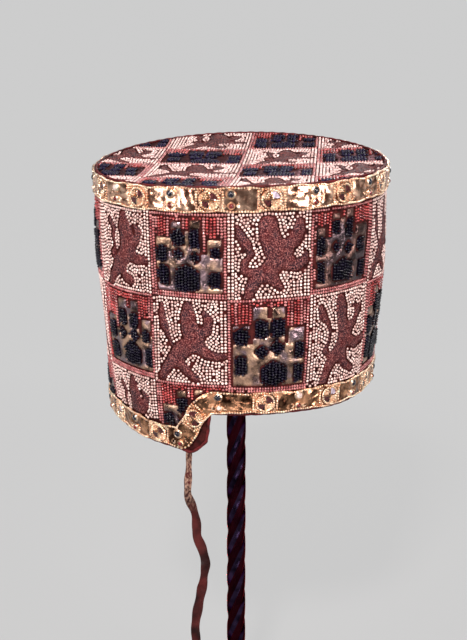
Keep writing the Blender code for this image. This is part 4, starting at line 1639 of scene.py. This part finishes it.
def field_level(x, y):
    """Height of the roundel's face: the cross stands up, the enamel is domed and the rest is flat."""
    if min(abs(x), abs(y)) < CROSS_HALF:
        return ROUNDEL_THICK
    if x * y > 0.0:
        return ENAMEL_LEVEL + ENAMEL_DOME * (1.0 - (x * x + y * y) / FIELD_RADIUS**2)
    return FIELD_LEVEL


def roundel_mesh(name, gold, left_enamel, right_enamel):
    """The roundel on its own, its face up, with enamel in its lower left and upper right fields."""
    angles = [tau * k / ROUNDEL_SIDES for k in range(ROUNDEL_SIDES)]
    points = [(r * cos(a), r * sin(a), height) for r, height in ROUNDEL_EDGE for a in angles]
    for k in range(FIELD_RINGS, -1, -1):
        radius = FIELD_RADIUS * k / FIELD_RINGS
        spots = [(radius * cos(a), radius * sin(a)) for a in (angles if k else angles[:1])]
        points += [(x, y, field_level(x, y)) for x, y in spots]
    faces = tube_faces(len(ROUNDEL_EDGE) + FIELD_RINGS, ROUNDEL_SIDES)
    inmost = faces.pop()
    faces += [(a, b, len(points) - 1) for a, b in zip(inmost, inmost[1:] + inmost[:1])]
    mesh = bpy.data.meshes.new(name)
    mesh.from_pydata(points, [], faces)
    mesh.shade_smooth()
    mesh.set_sharp_from_angle(angle=radians(35.0))
    for stuff in (gold, left_enamel, right_enamel):
        mesh.materials.append(stuff)
    for face in mesh.polygons:
        x, y, z = face.center
        on_cross = min(abs(x), abs(y)) < CROSS_HALF
        on_enamel = x * y > 0.0 and not on_cross and x * x + y * y < FIELD_RADIUS**2 * 0.96
        face.material_index = int(on_enamel) + int(on_enamel and x > 0.0)
    return mesh


def seat_of(band, s, t, lift):
    """Matrix of a piece set on a band, its own +Z pointing out."""
    lie = band.lie(np.array([s]), np.array([t]), np.array([lift]))
    point, along, across, out = [value[0] for value in lie]
    return Matrix.Translation(Vector(point)) @ Matrix((along, across, out)).transposed().to_4x4()


enamel = shades_of("dark_red_enamel", (0.016, 0.005, 0.005), (0.095, 0.019, 0.020), 0.0018, (0.12, 0.3),
                   coat=0.4)
filigree = gilt_sheet("gilt_filigree", (0.55, 0.27, 0.16), (1.0, 0.70, 0.48))
pale = shades_of("pale_enamel", (0.22, 0.17, 0.22), (0.62, 0.52, 0.60), 0.0014, (0.12, 0.3), coat=0.4)
for band, prefix in ((top_band, "top"), (rim_band, "rim")):
    shields = [roundel_mesh(prefix + "_shield", filigree, enamel, right) for right in (enamel, pale)]
    for k, place in enumerate(band.roundels):
        name = f"{prefix}_roundel_{k + 1:02d}"
        roundel = bpy.data.objects.new(name + "_shield", shields[int(k % 5 == 3)])
        roundel.matrix_world = seat_of(band, place, 0.0, ROUNDEL_LIFT)
        bpy.context.scene.collection.objects.link(roundel)
        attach(roundel, "root")
        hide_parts(name)

# Between the roundels sit pairs of stones in gilt collets, one above the other: sapphires, garnets
# and here and there a pearl, with a small scroll of wire on either side of the lower one.
COLLET_RADIUS = 0.0030
COLLET_HEIGHT = 0.0012
COLLET_SIDES = 20
STONE_RADIUS = 0.0018
STONE_HEIGHT = 0.0011
STONE_SIDES = 14
STONE_DOME = (0.0, 0.35, 0.7, 1.05, 1.35)
LOWER_SIZE = 0.76
SCROLL_RADIUS = 0.0015
SCROLL_WIRE = 0.00040
SCROLL_STATIONS = 14
SCROLL_SIDES = 5
SCROLL_BESIDE = 0.0038
SCROLL_LIFT = BAND_SHEET + 0.0003
SCROLL_START = -0.5 * pi
SCROLL_TURN = 1.75 * pi
SCROLL_OPENS = 0.45


def set_copies(name, shape, seats, stuff, sharp=35.0):
    """One piece made of a shape's copies, one at each seat."""
    points, faces = [], []
    for seat in seats:
        first = len(points)
        points += [seat @ Vector(p) for p in shape[0]]
        faces += [tuple(first + i for i in face) for face in shape[1]]
    piece = add_piece(name, points, faces, stuff, sharp)


def scroll_shape():
    """A curl of round wire that opens outwards."""
    points = []
    for i in range(SCROLL_STATIONS):
        way = i / (SCROLL_STATIONS - 1)
        angle = SCROLL_START + SCROLL_TURN * way
        out = Vector((cos(angle), sin(angle), 0.0))
        for j in range(SCROLL_SIDES):
            turn = tau * j / SCROLL_SIDES
            radius = SCROLL_RADIUS * (1.0 - SCROLL_OPENS * way) + SCROLL_WIRE * cos(turn)
            points.append(out * radius + Vector((0.0, 0.0, SCROLL_WIRE * sin(turn))))
    return points, tube_faces(SCROLL_STATIONS, SCROLL_SIDES)


collets, scrolls = [], []
stones = {"sapphire": [], "garnet": [], "set_pearl": []}
for turn, band in enumerate((top_band, rim_band)):
    for k, place in enumerate(band.pairs):
        for side, kind, size in ((1, "sapphire", 1.0), (-1, "garnet", LOWER_SIZE)):
            seat = seat_of(band, place, side * PAIR_SPREAD / 2.0, BAND_SHEET)
            collets.append(seat @ Matrix.Diagonal((size, size, 1.0, 1.0)))
            stones["set_pearl" if (k * 5 + side + turn) % 7 == 0 else kind].append(collets[-1])
        for side in (1, -1):
            spot = seat_of(band, place + side * SCROLL_BESIDE, -PAIR_SPREAD / 2.0, SCROLL_LIFT)
            scrolls.append(spot @ Matrix.Diagonal((side, -1.0, 1.0, 1.0)))
collet = turned([
    (COLLET_RADIUS * 0.98, -0.0004),
    (COLLET_RADIUS, 0.0004),
    (COLLET_RADIUS * 0.90, 0.0009),
    (STONE_RADIUS * 1.15, COLLET_HEIGHT + 0.0001),
    (STONE_RADIUS * 0.96, COLLET_HEIGHT - 0.0003),
], COLLET_SIDES)
dome = [(STONE_RADIUS * cos(a), COLLET_HEIGHT - 0.0002 + STONE_HEIGHT * sin(a)) for a in STONE_DOME]
stone = turned([(STONE_RADIUS * 0.9, COLLET_HEIGHT - 0.0006)] + dome, STONE_SIDES)
set_copies("stone_collets", collet, collets, wire)
set_copies("wire_scrolls", scroll_shape(), scrolls, wire, 80.0)
for kind, dark, light, rough in (("sapphire", (0.001, 0.001, 0.004), (0.006, 0.005, 0.018), (0.05, 0.12)),
                                 ("garnet", (0.03, 0.002, 0.003), (0.20, 0.012, 0.012), (0.06, 0.14)),
                                 ("set_pearl", (0.45, 0.30, 0.26), (0.78, 0.66, 0.60), (0.15, 0.3))):
    gem = shades_of(kind, dark, light, 0.002, rough, coat=0.6)
    set_copies(kind + "_stones", stone, stones[kind], gem, 30.0)

# The stand is seen on a plain pale floor that runs back and up behind it in one sweep and is lit from
# within behind the stand. Tall softboxes stand left and right of the cap, a small lamp high in front
# of it and a low card below, and two soft lights hang over and behind it.
FLOOR_WIDE = 6.0
FLOOR_FRONT = -2.5
FLOOR_BEND_AT = 1.6
FLOOR_BEND = 1.2
FLOOR_BENDS = 13
BACK_HEIGHT = 3.5
FLOOR_GREY = (0.08, 0.08, 0.08, 1.0)
GLOW_FROM, GLOW_TO = -1.0, 1.0
FLOOR_GLOW = (
    # how far back on the floor, and how brightly it glows there
    (-0.30, 0.14),
    (0.05, 0.535),
    (0.90, 0.590),
)
SKY = 0.13
SPREAD = radians(60.0)
LIGHTS = (
    # name, place, height it is aimed at, width, height, watts, tint
    ("left_softbox", (-0.92, -0.70, 0.50), 0.36, 0.36, 0.65, 1.05, (1.0, 0.92, 0.90)),
    ("right_softbox", (0.88, -0.84, 0.48), 0.36, 0.38, 0.65, 1.5, (1.0, 0.92, 0.90)),
    ("high_light", (-0.20, -0.95, 1.15), 0.36, 0.16, 0.16, 2.2, (1.0, 0.93, 0.91)),
    ("low_card", (0.0, -0.50, 0.02), 0.24, 0.40, 0.06, 0.05, (1.0, 0.92, 0.92)),
    ("over_light", (-0.10, 0.55, 1.30), 0.40, 0.60, 0.40, 0.3, (1.0, 0.92, 0.90)),
    ("back_light", (0.5, 1.2, 0.7), 0.34, 0.8, 0.6, 1.2, (1.0, 1.0, 1.0)),
)


def glowing_grey():
    stuff = bpy.data.materials.new("pale_floor")
    stuff.use_nodes = True
    depth = add_node(stuff, "SeparateXYZ", Vector=on_piece(stuff)).outputs["Y"]
    ramp = add_node(stuff, "ValToRGB", Fac=ranged(stuff, depth, GLOW_FROM, GLOW_TO))
    ramp.color_ramp.elements.new(0.5)
    for stop, (y, glow) in zip(ramp.color_ramp.elements, FLOOR_GLOW):
        stop.position = (y - GLOW_FROM) / (GLOW_TO - GLOW_FROM)
        stop.color = (glow, glow, glow, 1.0)
    fill(stuff, shader_of(stuff), {
        "Base Color": FLOOR_GREY,
        "Roughness": 1.0,
        "Specular IOR Level": 0.0,
        "Emission Strength": 1.0,
        "Emission Color": ramp.outputs["Color"],
    })
    return stuff


bends = np.linspace(0.0, pi / 2.0, FLOOR_BENDS)
sweep = [(FLOOR_BEND_AT + FLOOR_BEND * sin(a), FLOOR_BEND * (1.0 - cos(a))) for a in bends]
sweep = [(FLOOR_FRONT, 0.0)] + sweep + [(FLOOR_BEND_AT + FLOOR_BEND, BACK_HEIGHT)]
points = [(side * FLOOR_WIDE / 2.0, y, z) for y, z in sweep for side in (-1, 1)]
mesh = bpy.data.meshes.new("floor")
mesh.from_pydata(points, [], [(k, k + 1, k + 3, k + 2) for k in range(0, len(points) - 2, 2)])
mesh.shade_smooth()
mesh.materials.append(glowing_grey())
floor = bpy.data.objects.new("floor", mesh)
bpy.context.scene.collection.objects.link(floor)

for name, place, aim, wide, high, watts, tint in LIGHTS:
    lamp = bpy.data.lights.new(name, "AREA")
    lamp.shape = "RECTANGLE"
    lamp.size, lamp.size_y = wide, high
    lamp.spread = SPREAD
    lamp.energy = watts
    lamp.color = tint
    light = bpy.data.objects.new(name, lamp)
    light.location = place
    light.rotation_euler = (Vector((0.0, 0.0, aim)) - Vector(place)).to_track_quat("-Z", "Y").to_euler()
    bpy.context.scene.collection.objects.link(light)
sky = bpy.data.worlds.new("studio")
sky.use_nodes = True
sky.node_tree.nodes["Background"].inputs["Color"].default_value = (1.0, 1.0, 1.0, 1.0)
sky.node_tree.nodes["Background"].inputs["Strength"].default_value = SKY
bpy.context.scene.world = sky
bpy.context.scene.view_settings.view_transform = "Standard"
